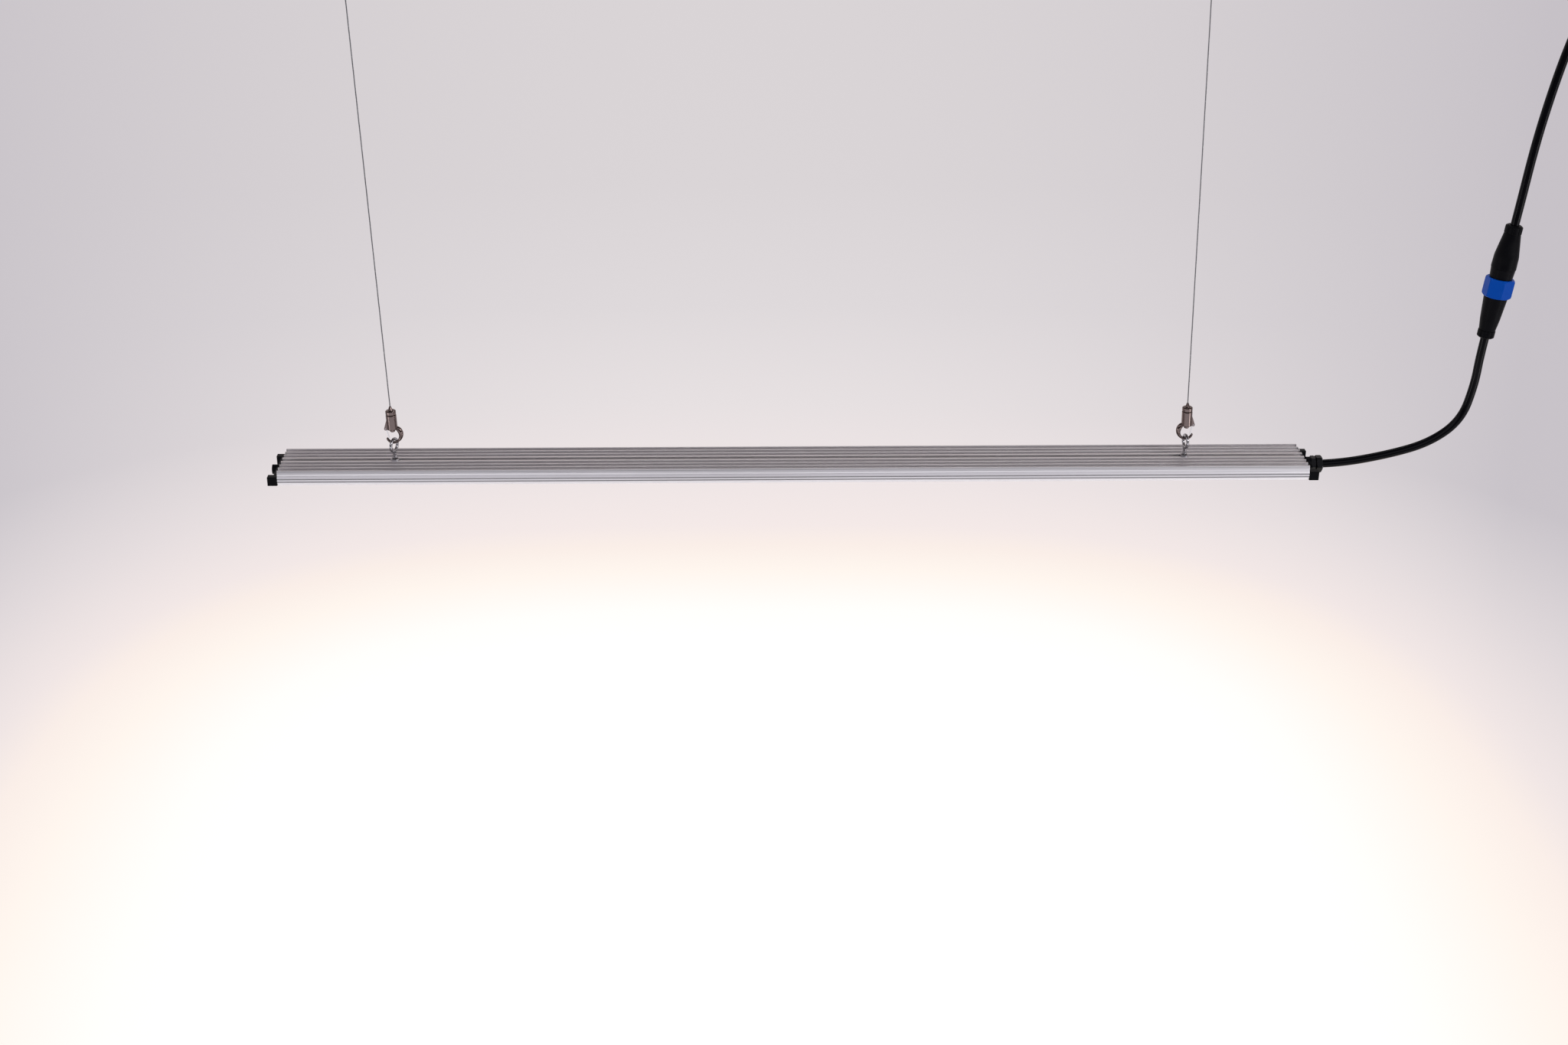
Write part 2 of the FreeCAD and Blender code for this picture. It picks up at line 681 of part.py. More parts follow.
def gland_body():
    """Hexagon, threaded neck and stub of the gland, bored for the lead."""
    stub = cylinder(GLAND_STUB_DIA - 2 * FIT, Vector(0, 0, -GLAND_BOSS_LENGTH + STUB_END), GLAND_BOSS_LENGTH)
    nut = hexagon(GLAND_HEX, 0, GLAND_HEX_LENGTH)
    flat = GLAND_HEX / 2
    round_off = turned([
        (0, 0), (flat + 0.2, 0), (flat + 1.2, 0.8),
        (flat + 1.2, GLAND_HEX_LENGTH - 0.8), (flat + 0.2, GLAND_HEX_LENGTH), (0, GLAND_HEX_LENGTH),
    ])
    neck = cylinder(GLAND_NECK_DIA, Vector(0, 0, GLAND_HEX_LENGTH - OVER), GLAND_NECK_LENGTH + OVER)
    body = merged([stub, nut.common(round_off), neck])
    body = body.cut(cylinder(CORE_HOLE, Vector(0, 0, -GLAND_BOSS_LENGTH), 2 * GLAND_BOSS_LENGTH))
    bore_length = GLAND_HEX_LENGTH + GLAND_NECK_LENGTH + OVER
    body = body.cut(cylinder(LEAD_DIA + 4 * FIT, Vector(0, 0, 0), bore_length))
    return laid_along_x(body, gland_start(), -GLAND_DOWN)


def gland_nut_start():
    return GLAND_HEX_LENGTH + GLAND_NUT_GAP


def gland_nut():
    """The domed compression nut that closes the gland on the lead."""
    low = gland_nut_start()
    high = low + GLAND_NUT_LENGTH
    flat = GLAND_NUT_HEX / 2
    outer = turned([
        (0, low), (flat + 0.3, low), (flat + 1.0, low + 0.8),
        (flat + 1.0, high - 2.2, 1.0), (LEAD_DIA / 2 + 2.0, high, 1.2), (0, high),
    ])
    nut = hexagon(GLAND_NUT_HEX, low, GLAND_NUT_LENGTH).common(outer)
    bore_length = GLAND_NUT_LENGTH - GLAND_LIP + OVER
    nut = nut.cut(cylinder(GLAND_NECK_DIA + 2 * FIT, Vector(0, 0, low - OVER), bore_length))
    nut = nut.cut(cylinder(LEAD_DIA + 1.0, Vector(0, 0, low), GLAND_NUT_LENGTH + OVER))
    return laid_along_x(nut, gland_start(), -GLAND_DOWN)


def gland_seal():
    """The rubber sleeve that the nut squeezes round the lead."""
    low = GLAND_HEX_LENGTH + GLAND_NECK_LENGTH + SEAT
    high = gland_nut_start() + GLAND_NUT_LENGTH - GLAND_LIP - SEAT
    sleeve = cylinder(GLAND_NECK_DIA - 0.4, Vector(0, 0, low), high - low)
    sleeve = sleeve.cut(cylinder(LEAD_DIA + 2 * FIT, Vector(0, 0, low - OVER), high - low + 2 * OVER))
    return laid_along_x(sleeve, gland_start(), -GLAND_DOWN)


def core_leads():
    """Three insulated cores from the end of the lead to the board's solder pads."""
    start = gland_start()
    inside = HALF_BAR - SPIGOT_LENGTH - OVER
    end = board_half() - PAD_IN
    low = -BOARD_DOWN - CORE_DIA / 2 - FIT
    bunch = (CORE_DIA + 0.2) / math.sqrt(3)
    cores = []
    for k in range(3):
        angle = math.radians(120 * k - 90)
        y = bunch * math.cos(angle)
        z = -GLAND_DOWN + bunch * math.sin(angle)
        pad = CORE_SPREAD * y / bunch
        points = [
            Vector(start, y, z),
            Vector(inside, y, z),
            Vector(end + PAD_IN / 2, pad, low),
            Vector(end, pad, low),
        ]
        cores.append(tube(points, CORE_DIA, "core"))
    return Part.makeCompound(cores)


# ================= eye bolts =================


def eye_bolt(turn):
    """A forged ring on a waisted neck, a flared collar on the slot's lips, and a thread below."""
    ring = Part.makeTorus(EYE_RING / 2, EYE_WIRE / 2, Vector(0, 0, EYE_UP), Vector(1, 0, 0))
    ring_low = EYE_UP - EYE_RING / 2
    shaft = turned([
        (0, -SLOT_FLOOR + SLOT_PLAY),
        (BOLT_DIA / 2, -SLOT_FLOOR + SLOT_PLAY),
        (BOLT_DIA / 2, 0),
        (COLLAR_DIA / 2, 0, 0.4),
        (COLLAR_DIA / 2, COLLAR_HEIGHT * 0.6, 0.4),
        (BOLT_NECK_DIA / 2, COLLAR_HEIGHT + 1.6, 1.2),
        (BOLT_NECK_DIA / 2, ring_low - 1.4, 1.2),
        (EYE_WIRE / 2 + EYE_FLARE, ring_low + 0.6, 0.4),
        (0, ring_low + 0.6),
    ])
    bolt = ring.fuse(shaft).removeSplitter()
    bolt.rotate(Vector(0, 0, 0), Vector(0, 0, 1), turn)
    return bolt


def slot_nut():
    """A flat nut that slides in the T-slot and takes the eye bolt's thread."""
    half_length = SLOT_NUT_LENGTH / 2
    half_width = SLOT_WIDTH / 2 - SLOT_PLAY
    up = (-SLOT_FLOOR + SLOT_PLAY, -SLOT_LIP)
    block = box((-half_length, half_length), (-half_width, half_width), up)
    block = block.makeChamfer(0.6, [e for e in block.Edges if abs(e.tangentAt(0).z) > 0.9])
    return block.cut(cylinder(BOLT_DIA + 2 * FIT, Vector(0, 0, -SLOT_FLOOR), SLOT_FLOOR))


# ================= snap hooks and wire grippers =================
# Made for the left side, in the hook's own frame; the right one is its mirror image.


def on_circle(centre, radius, degrees):
    turn = math.radians(degrees)
    return Vector(centre.x + radius * math.cos(turn), 0, centre.z + radius * math.sin(turn))


def disc(centre, normal, dia):
    return Part.Wire(Part.makeCircle(dia / 2, centre, normal))


def across_y(dia, centre, half):
    """A cylinder along Y that reaches as far to both sides."""
    return cylinder(dia, centre - Vector(0, half, 0), 2 * half, Vector(0, 1, 0))


def hook_bow():
    """The bow: a round bend that carries the eye, and a back that thickens up to the sleeve."""
    low = Vector(0, 0, HOOK_BEND)
    turn = on_circle(low, HOOK_BEND, HOOK_TURN_ANGLE)
    back = turn + (low - turn).normalize() * HOOK_BACK_BEND
    tip = on_circle(low, HOOK_BEND, HOOK_TIP_ANGLE)
    across = Part.Face(disc(tip, tip.cross(Vector(0, 1, 0)) - low.cross(Vector(0, 1, 0)), HOOK_WIRE))
    bend = across.revolve(low, Vector(0, -1, 0), HOOK_TURN_ANGLE - HOOK_TIP_ANGLE)
    nose = Part.makeSphere(HOOK_WIRE / 2, tip)
    swept = HOOK_END_ANGLE + 360 - HOOK_TURN_ANGLE
    halfway = on_circle(back, HOOK_BACK_BEND, HOOK_TURN_ANGLE + swept / 2)
    spine = Part.Arc(turn, halfway, on_circle(back, HOOK_BACK_BEND, HOOK_END_ANGLE)).toShape()
    sections = []
    middle_dia = (HOOK_WIRE + HOOK_BACK_DIA) / 2
    thickness = (
        (0, HOOK_WIRE), (0.2, HOOK_WIRE), (0.42, middle_dia), (0.62, HOOK_BACK_DIA), (1, HOOK_ROOT_DIA),
    )
    for share, thick in thickness:
        angle = HOOK_TURN_ANGLE + swept * share
        at = on_circle(back, HOOK_BACK_BEND, angle)
        along = Vector(-math.sin(math.radians(angle)), 0, math.cos(math.radians(angle)))
        sections.append(disc(at, along, thick))
    shell = Part.BRepOffsetAPI.MakePipeShell(Part.Wire([spine]))
    for ring in sections:
        shell.add(ring, False, False)
    shell.build()
    shell.makeSolid()
    return bend, nose, shell.shape()


def gate_line():
    """The pivot, the direction and the length of the closed gate, which leans on the hook's tip."""
    tip = on_circle(Vector(0, 0, HOOK_BEND), HOOK_BEND, HOOK_TIP_ANGLE)
    pivot = Vector(-GATE_PIVOT_OUT, 0, GATE_PIVOT_UP)
    reach = (tip - pivot).Length
    gap = HOOK_WIRE / 2 + SEAT + GATE_THICK / 2
    aim = math.atan2(tip.x - pivot.x, pivot.z - tip.z) + math.asin(gap / reach)
    along = Vector(math.sin(aim), 0, -math.cos(aim))
    return pivot, along, math.sqrt(reach**2 - gap**2) - GATE_SHORT


def hook():
    """Sleeve with the bow and the two ears of the gate, in one casting."""
    top = SLEEVE_UP + SLEEVE_LENGTH
    radius = SLEEVE_DIA / 2
    sleeve = turned([
        (0, SLEEVE_UP), (radius, SLEEVE_UP, 1.2), (radius, top, 0.8), (0, top)
    ])
    pivot, _, _ = gate_line()
    ear_half = GATE_WIDTH / 2 + SEAT + EAR_WALL
    eye_out = pivot.x - GATE_EYE_DIA / 2
    ear_top = SLEEVE_UP + EAR_LENGTH
    wedge = [
        (-radius + 2.0, SLEEVE_UP + 0.6),
        (eye_out + 0.4, SLEEVE_UP, 0.5),
        (eye_out - 0.6, pivot.z, 0.8),
        (-radius + 0.4, ear_top),
        (-radius + 2.0, ear_top),
    ]
    ears = outline(wedge, lambda x, z: Vector(x, -ear_half, z)).extrude(Vector(0, 2 * ear_half, 0))
    body = merged([sleeve, ears, *hook_bow()])
    slot_half = GATE_WIDTH / 2 + SEAT
    slot_x = (eye_out - GATE_EYE_DIA, -GRIP_STEM_DIA / 2 - STEM_WALL)
    slot_z = (SLEEVE_UP - OVER, pivot.z + GATE_EYE_DIA / 2 + GATE_ROOM)
    slot = box(slot_x, (-slot_half, slot_half), slot_z)
    bore = cylinder(GRIP_STEM_DIA + 2 * FIT, Vector(0, 0, SLEEVE_UP + SLEEVE_FLOOR), SLEEVE_LENGTH)
    eye = cylinder(GRIP_NECK_DIA + 2 * FIT, Vector(0, 0, SLEEVE_UP - OVER), SLEEVE_FLOOR + 2 * OVER)
    pin = across_y(GATE_PIN_DIA, pivot, ear_half + OVER)
    return body.cut(slot).cut(bore).cut(eye).cut(pin)


def gate_pin():
    pivot, _, _ = gate_line()
    return across_y(GATE_PIN_DIA, pivot, GATE_WIDTH / 2 + SEAT + EAR_WALL)


def gate():
    """A sprung leaf rolled round the pin at its top."""
    pivot, along, length = gate_line()
    across = Vector(along.z, 0, -along.x)
    half = GATE_THICK / 2
    corners = [
        pivot - across * half,
        pivot - across * half + along * length,
        pivot + across * half + along * length,
        pivot + across * half,
        pivot - across * half,
    ]
    leaf = Part.Face(Part.makePolygon(corners)).extrude(Vector(0, GATE_WIDTH, 0))
    leaf.translate(Vector(0, -GATE_WIDTH / 2, 0))
    eye = across_y(GATE_EYE_DIA, pivot, GATE_WIDTH / 2)
    notch = across_y(GATE_EYE_DIA + OVER, pivot, GATE_WIDTH / 6)
    body = leaf.fuse(eye).removeSplitter().cut(notch)
    return body.cut(across_y(GATE_PIN_DIA + 2 * FIT, pivot, GATE_WIDTH))


def coil(radius, wire, pitch, turns, steps=12):
    """A spring of square wire about the Z axis, from z = 0 up."""
    half = wire / 2
    rings = []
    for k in range(int(turns * steps) + 1):
        angle = 2 * math.pi * k / steps
        out = Vector(math.cos(angle), math.sin(angle), 0)
        up = Vector(0, 0, 1)
        at = out * radius + up * (half + pitch * k / steps)
        around = ((-1, -1), (1, -1), (1, 1), (-1, 1), (-1, -1))
        rings.append(Part.makePolygon([at + out * (a * half) + up * (b * half) for a, b in around]))
    return Part.makeLoft(rings, True, True)


def gate_spring():
    """A small torsion spring on the gate's pin."""
    pivot, _, _ = gate_line()
    pitch = GATE_SPRING_WIRE * 1.15
    radius = GATE_PIN_DIA / 2 + FIT + SEAT + GATE_SPRING_WIRE / 2
    spring = coil(radius, GATE_SPRING_WIRE, pitch, GATE_SPRING_TURNS)
    spring.rotate(Vector(0, 0, 0), Vector(1, 0, 0), 90)
    half_length = (GATE_SPRING_WIRE + pitch * GATE_SPRING_TURNS) / 2
    spring.translate(Vector(pivot.x, half_length, pivot.z))
    return spring


def gripper_barrel():
    """The gripper: a knurled head above the sleeve, and a stem that the hook turns on."""
    top = GRIP_TOP
    shoulder = SLEEVE_UP + SLEEVE_LENGTH + SEAT
    floor = SLEEVE_UP + SLEEVE_FLOOR + SEAT
    head_top = SLEEVE_UP - SEAT
    radius = SLEEVE_DIA / 2
    barrel = turned([
        (0, head_top - GRIP_HEAD_HEIGHT),
        (GRIP_HEAD_DIA / 2, head_top - GRIP_HEAD_HEIGHT, 1.2),
        (GRIP_HEAD_DIA / 2, head_top),
        (GRIP_NECK_DIA / 2, head_top),
        (GRIP_NECK_DIA / 2, floor),
        (GRIP_STEM_DIA / 2, floor),
        (GRIP_STEM_DIA / 2, shoulder),
        (radius - 0.7, shoulder, 0.3),
        (radius - 0.1, shoulder + 1.0, 0.4),
        (radius - 0.1, top - 0.9, 0.6),
        (radius - 1.4, top, 0.6),
        (0, top),
    ])
    cone_at_balls = BALL_CENTRES + BALL_DIA / 2 / math.cos(math.radians(CONE_ANGLE))
    slope = math.tan(math.radians(CONE_ANGLE))
    chamber = floor + GRIP_FLOOR
    chamber_radius = cone_at_balls + slope * CONE_LENGTH
    guide = GRIP_TOP - PLUNGER_TRAVEL - PLUNGER_HEAD - 2 * SEAT
    mouth = PLUNGER_DIA / 2 + FIT
    wire_hole = WIRE_DIA / 2 + WIRE_PLAY
    tube_hole = PLUNGER_TUBE_DIA / 2 + FIT
    cone_high = BALL_UP + BALL_DIA / 2 + 0.2
    inside = turned([
        (0, 0), (wire_hole, 0), (wire_hole, chamber),
        (chamber_radius, chamber), (chamber_radius, BALL_UP - CONE_LENGTH),
        (cone_at_balls - slope * (cone_high - BALL_UP), cone_high), (tube_hole, cone_high),
        (tube_hole, guide), (mouth, guide), (mouth, top + OVER), (0, top + OVER),
    ])
    return barrel.cut(inside)


def plunger():
    """The release nose: pressed down, its tube pushes the balls out of their cone."""
    low = BALL_UP + BALL_DIA / 2 + FIT
    step = GRIP_TOP - PLUNGER_HEAD
    wire_hole = WIRE_DIA / 2 + WIRE_PLAY
    return turned([
        (wire_hole, low), (PLUNGER_TUBE_DIA / 2, low), (PLUNGER_TUBE_DIA / 2, step),
        (PLUNGER_DIA / 2, step), (PLUNGER_DIA / 2, GRIP_TOP + 0.3, 0.3),
        (PLUNGER_TIP_DIA / 2, GRIP_TOP + PLUNGER_NOSE, 0.4), (wire_hole, GRIP_TOP + PLUNGER_NOSE),
    ])


def clamp_balls():
    """Three steel balls that bite the wire."""
    balls = []
    reach = BALL_CENTRES + FIT / 2
    for k in range(3):
        angle = 2 * math.pi * k / 3
        at = Vector(reach * math.cos(angle), reach * math.sin(angle), BALL_UP)
        balls.append(Part.makeSphere(BALL_DIA / 2 - FIT / 2, at))
    return Part.makeCompound(balls)


def plunger_spring():
    """The spring under the balls."""
    low = SLEEVE_UP + SLEEVE_FLOOR + SEAT + GRIP_FLOOR
    high = BALL_UP - BALL_DIA / 2 - SEAT
    pitch = (high - low - SPRING_WIRE) / SPRING_TURNS
    spring = coil(BALL_CENTRES + SPRING_WIRE / 4, SPRING_WIRE, pitch, SPRING_TURNS)
    spring.translate(Vector(0, 0, low))
    return spring


def wire():
    """The straight steel wire, from the gripper's foot up to the stop in the ceiling fitting."""
    low = SLEEVE_UP - GRIP_HEAD_HEIGHT
    high = STOP_ABOVE_HOOK + STOP_NECK_LENGTH - STOP_CAP
    return cylinder(WIRE_DIA, Vector(0, 0, low), high - low)


def wire_stop():
    """The ball and sleeve pressed on the upper end of the wire."""
    neck = STOP_NECK_LENGTH
    ball = Part.makeSphere(STOP_DIA / 2)
    sleeve = turned([(0, 0), (STOP_NECK_DIA / 2, 0), (STOP_NECK_DIA / 2, neck, 0.6), (0, neck)])
    stop = ball.fuse(sleeve).removeSplitter()
    stop = stop.cut(cylinder(WIRE_DIA, Vector(0, 0, -STOP_DIA), STOP_DIA + neck - STOP_CAP))
    stop.translate(Vector(0, 0, STOP_ABOVE_HOOK))
    return stop


# ================= ceiling fittings =================


def ceiling_plate():
    """A round plate with two countersunk holes and a threaded boss for the cup."""
    boss_low = -PLATE_THICK - PLATE_BOSS_LENGTH
    bore_top = -PLATE_THICK + PLATE_SKIN
    plate = turned([
        (PLATE_BORE_DIA / 2, boss_low),
        (PLATE_BOSS_DIA / 2, boss_low, 0.6),
        (PLATE_BOSS_DIA / 2, -PLATE_THICK),
        (PLATE_DIA / 2, -PLATE_THICK, 1.0),
        (PLATE_DIA / 2, 0),
        (0, 0),
        (0, bore_top),
        (PLATE_BORE_DIA / 2, bore_top),
    ])
    sink_deep = (PLATE_SINK_DIA - PLATE_HOLE_DIA) / 2
    for side in (-1, 1):
        at = Vector(0, side * PLATE_HOLE_SPACING / 2, -PLATE_THICK)
        sink = Part.makeCone(PLATE_SINK_DIA / 2, PLATE_HOLE_DIA / 2, sink_deep, at, Vector(0, 0, 1))
        plate = plate.cut(sink).cut(cylinder(PLATE_HOLE_DIA, at, PLATE_THICK + OVER))
    return plate


def ceiling_cup():
    """The cup that screws on the boss; the wire's ball sits in the seat in its floor."""
    radius = CUP_DIA / 2
    rim = -PLATE_THICK - SEAT
    shelf = rim - PLATE_BOSS_LENGTH
    shell = turned([
        (0, -CUP_LENGTH), (radius - CUP_TAPER_IN, -CUP_LENGTH, 1.0), (radius, -CUP_LENGTH + CUP_TAPER, 1.5),
        (radius, rim, 0.6), (0, rim),
    ])
    inner = turned([
        (0, -STOP_DOWN), (PLATE_BORE_DIA / 2, -STOP_DOWN), (PLATE_BORE_DIA / 2, shelf),
        (PLATE_BOSS_DIA / 2 + FIT, shelf), (PLATE_BOSS_DIA / 2 + FIT, 0), (0, 0),
    ])
    seat = Part.makeSphere(STOP_DIA / 2 + FIT, Vector(0, 0, -STOP_DOWN))
    below = CUP_LENGTH - STOP_DOWN
    wire_hole = WIRE_DIA / 2 + 2 * WIRE_PLAY
    mouth = Part.makeCone(wire_hole, CUP_MOUTH_DIA / 2, below, Vector(0, 0, -STOP_DOWN), Vector(0, 0, -1))
    return shell.cut(inner).cut(seat).cut(mouth)


# ================= supply outlet =================


def outlet_x():
    """Where the supply lead's upper end meets the ceiling."""
    return BAR_SHIFT + SUPPLY_LEAD_ROUTE[-1][0]


def supply_outlet():
    """A round box on the ceiling with two screw holes, its cover open over them."""
    radius = OUTLET_DIA / 2
    dome = turned([
        (0, -OUTLET_HEIGHT), (radius - OUTLET_TAPER_IN, -OUTLET_HEIGHT, 5.0),
        (radius, -OUTLET_RIM, 3.0), (radius, 0), (0, 0),
    ])
    dome.translate(Vector(outlet_x(), 0, 0))
    low = -OUTLET_HEIGHT - OVER
    for side in (-1, 1):
        at = Vector(outlet_x(), side * OUTLET_HOLE_SPACING / 2, low)
        dome = dome.cut(cylinder(OUTLET_HOLE_DIA, at, OUTLET_HEIGHT + 2 * OVER))
        dome = dome.cut(cylinder(OUTLET_HOLE_DIA * 2, at, -OUTLET_FLOOR - low))
    entry = cylinder(BUSH_DIA - 2 * BUSH_LIP, Vector(outlet_x(), 0, low), -OUTLET_RIM - low)
    return dome.cut(entry)


def outlet_bush():
    """The bushing that the supply lead comes out of."""
    low = -OUTLET_HEIGHT - BUSH_LENGTH
    flange = -OUTLET_HEIGHT - SEAT / 2
    stem = BUSH_DIA / 2 - BUSH_LIP - FIT
    bore = LEAD_DIA / 2 + FIT
    bush = turned([
        (LEAD_DIA / 2 + BUSH_WALL, low, 0.8), (BUSH_DIA / 2, flange, 0.8), (stem, flange),
        (stem, -BUSH_TOP), (bore, -BUSH_TOP), (bore, low + BUSH_FUNNEL, 2.0),
        (LEAD_DIA / 2 + BUSH_WALL / 2, low),
    ])
    bush.translate(Vector(outlet_x(), 0, 0))
    return bush


# ================= in-line connector =================


def ring_of(inner, outer, low, high):
    """A ring of square section about the Z axis."""
    return turned([(inner, low), (outer, low), (outer, high), (inner, high)])


def taper_at(height):
    """Outer diameter of the socket's taper at a height along the connector."""
    share = (height - CLAMP_LENGTH) / SOCKET_LENGTH
    return CLAMP_DIA - 1.0 + (SOCKET_END_DIA - CLAMP_DIA + 1.0) * share


def clamp_nut():
    """A ribbed clamping nut on the lower end of the connector."""
    radius = CLAMP_DIA / 2
    top = CLAMP_LENGTH - SEAT
    bore = LEAD_DIA / 2 + GROMMET_WALL + SEAT
    mouth = LEAD_DIA / 2 + 3 * SEAT
    nut = turned([
        (mouth, 0), (radius - 2.2, 0, 1.2), (radius, 1.6, 1.0), (radius, top, 0.5),
        (bore, top), (bore, CLAMP_FLOOR), (mouth, CLAMP_FLOOR),
    ])
    groove_at = radius + 0.5
    for k in range(CLAMP_RIBS):
        angle = 2 * math.pi * k / CLAMP_RIBS
        at = Vector(groove_at * math.cos(angle), groove_at * math.sin(angle), CLAMP_FLOOR)
        nut = nut.cut(cylinder(RIB_GROOVE_DIA, at, CLAMP_LENGTH))
    return nut


def grommet():
    """The soft ring inside a clamping nut."""
    inner = LEAD_DIA / 2 + FIT
    outer = LEAD_DIA / 2 + GROMMET_WALL
    low = CLAMP_FLOOR + SEAT
    high = CLAMP_LENGTH - SEAT
    return turned([(inner, low), (outer, low), (outer, high), (inner, high)])


def socket_body():
    """The lower half: a tapered shell whose threaded nose runs up inside the ring."""
    nose = SOCKET_NOSE_DIA / 2
    nose_top = SOCKET_END + SOCKET_NOSE_LENGTH
    shoulder = RING_START - SEAT
    waist = CLAMP_LENGTH + SOCKET_WAIST_UP
    body = turned([
        (0, CLAMP_LENGTH),
        (taper_at(CLAMP_LENGTH) / 2, CLAMP_LENGTH, 0.4),
        (taper_at(waist) / 2 + 0.5, waist, WAIST_ROUND),
        (SOCKET_END_DIA / 2, shoulder, 0.5),
        (nose, shoulder),
        (nose, nose_top, 0.6),
        (0, nose_top),
    ])
    cavity = cylinder(NOSE_DIA + 2 * FIT, Vector(0, 0, SOCKET_END), SOCKET_NOSE_LENGTH + OVER)
    hole_low = CLAMP_LENGTH - OVER
    lead_hole = cylinder(LEAD_DIA + 2 * FIT, Vector(0, 0, hole_low), LEAD_IN_CONNECTOR + SEAT - hole_low)
    body = body.cut(cavity).cut(lead_hole)
    for at in pin_places(SOCKET_END - CONTACT_DEPTH):
        body = body.cut(cylinder(PIN_DIA + 2 * SLEEVE_WALL, at, CONTACT_DEPTH + OVER))
    return body


def pin_places(height):
    places = []
    for k in range(PIN_COUNT):
        angle = 2 * math.pi * k / PIN_COUNT + math.pi / 6
        places.append(Vector(PIN_CIRCLE / 2 * math.cos(angle), PIN_CIRCLE / 2 * math.sin(angle), height))
    return places


def contact_sockets():
    """Three sleeves in the lower half that take the pins."""
    sleeves = []
    for at in pin_places(SOCKET_END - CONTACT_DEPTH):
        sleeve = cylinder(PIN_DIA + 2 * SLEEVE_WALL, at, CONTACT_DEPTH)
        bore = cylinder(PIN_DIA + 2 * FIT, at + Vector(0, 0, CONTACT_FLOOR), CONTACT_DEPTH)
        sleeves.append(sleeve.cut(bore))
    return Part.makeCompound(sleeves)


def contact_pins():
    """Three pins in the upper half, reaching into the sleeves."""
    return Part.makeCompound([cylinder(PIN_DIA, at, PIN_LENGTH) for at in pin_places(PIN_START)])


def plug_front():
    """The upper half's front: the nose that enters the socket and the collar above the ring."""
    nose = NOSE_DIA / 2
    low = SOCKET_END + SEAT
    collar = FRONT_START + SEAT
    front = turned([
        (0, low), (nose, low, 0.5), (nose, collar), (FRONT_START_DIA / 2, collar, 0.4),
        (FRONT_END_DIA / 2, PLUG_START, 0.4), (0, PLUG_START),
    ])
    groove_top = SEAL_GROOVE + SEAL_GROOVE_WIDTH
    front = front.cut(ring_of(nose - SEAL_GROOVE_DEPTH, nose + OVER, SEAL_GROOVE, groove_top))
    return front.cut(contact_pins())


def coupling_seal():
    """The ring in the nose's groove that seals the coupled halves."""
    inner = NOSE_DIA / 2 - SEAL_GROOVE_DEPTH + FIT
    outer = NOSE_DIA / 2 + FIT / 2
    return ring_of(inner, outer, SEAL_GROOVE + FIT, SEAL_GROOVE + SEAL_GROOVE_WIDTH - FIT)


def lock_ring():
    """The hexagonal ring that turns to lock the two halves, with a bead on each corner."""
    bore = SOCKET_NOSE_DIA / 2 + FIT
    rim = RING_CORNER_DIA / 2
    flat = RING_HEX / 2 + 0.2
    round_off = turned([
        (bore, RING_START), (flat, RING_START), (rim, RING_START + RING_CHAMFER),
        (rim, FRONT_START - RING_CHAMFER), (flat, FRONT_START), (bore, FRONT_START),
    ])
    ring = hexagon(RING_HEX, RING_START, RING_LENGTH).common(round_off)
    bead_at = rim - 0.9
    beads = []
    for k in range(6):
        angle = k * math.pi / 3
        at = Vector(bead_at * math.sin(angle), -bead_at * math.cos(angle), RING_START + BEAD_SHORT)
        beads.append(cylinder(BEAD_DIA, at, RING_LENGTH - 2 * BEAD_SHORT))
    return ring.multiFuse(beads).removeSplitter()


def plug_body():
    """The upper half's rear shell, fullest above the seam and slimmer towards its nut."""
    low = PLUG_START + SEAT
    belly = PLUG_START + PLUG_LENGTH * PLUG_BELLY_SHARE
    body = turned([
        (0, low), (PLUG_START_DIA / 2, low, 0.5), (PLUG_BELLY_DIA / 2, belly, BELLY_ROUND),
        (CLAMP_DIA / 2 - 0.4, PLUG_END, 0.4), (0, PLUG_END),
    ])
    hole_low = CONNECTOR_LENGTH - LEAD_IN_CONNECTOR - SEAT
    body = body.cut(cylinder(LEAD_DIA + 2 * FIT, Vector(0, 0, hole_low), LEAD_IN_CONNECTOR))
    return body.cut(contact_pins())


def at_upper_end(shape):
    """A piece made for the connector's lower end, turned over onto its upper end."""
    shape.rotate(Vector(0, 0, CONNECTOR_LENGTH / 2), Vector(1, 0, 0), 180)
    return shape


# ================= leads =================


def tube(points, dia, name):
    """A round tube along straight runs joined by arcs that touch both of their runs."""
    edges = []
    start = points[0]
    radii = []
    for before, at, after in zip(points, points[1:], points[2:]):
        half_turn = (at - before).getAngle(after - at) / 2
        radius = 0.45 * min((at - before).Length, (after - at).Length) / math.tan(half_turn)
        radii.append(radius)
        opens, middle, closes = corner(before, at, after, radius)
        edges.append(Part.LineSegment(start, opens).toShape())
        edges.append(Part.Arc(opens, middle, closes).toShape())
        start = closes
    edges.append(Part.LineSegment(start, points[-1]).toShape())
    path = Part.Wire(edges)
    mouth = disc(points[0], points[1] - points[0], dia)
    solid = path.makePipeShell([mouth], True, False)
    area = math.pi * dia**2 / 4
    print(name, "radii", [round(r) for r in radii], "length", round(path.Length, 1),
          "volume / (section x length)", round(solid.Volume / (area * path.Length), 5))
    return solid


def along_connector(distance):
    """A place on the connector's axis, in the bar's frame."""
    return (CONNECTOR_AT[0] + CONNECTOR_AXIS[0] * distance, CONNECTOR_AT[1] + CONNECTOR_AXIS[1] * distance)


def lamp_lead():
    route = [(gland_start() + SEAT, -GLAND_DOWN)] + LAMP_LEAD_ROUTE
    route += [along_connector(-LEAD_STRAIGHT), along_connector(LEAD_IN_CONNECTOR)]
    return tube([Vector(x, 0, z) for x, z in route], LEAD_DIA, "lamp_lead")


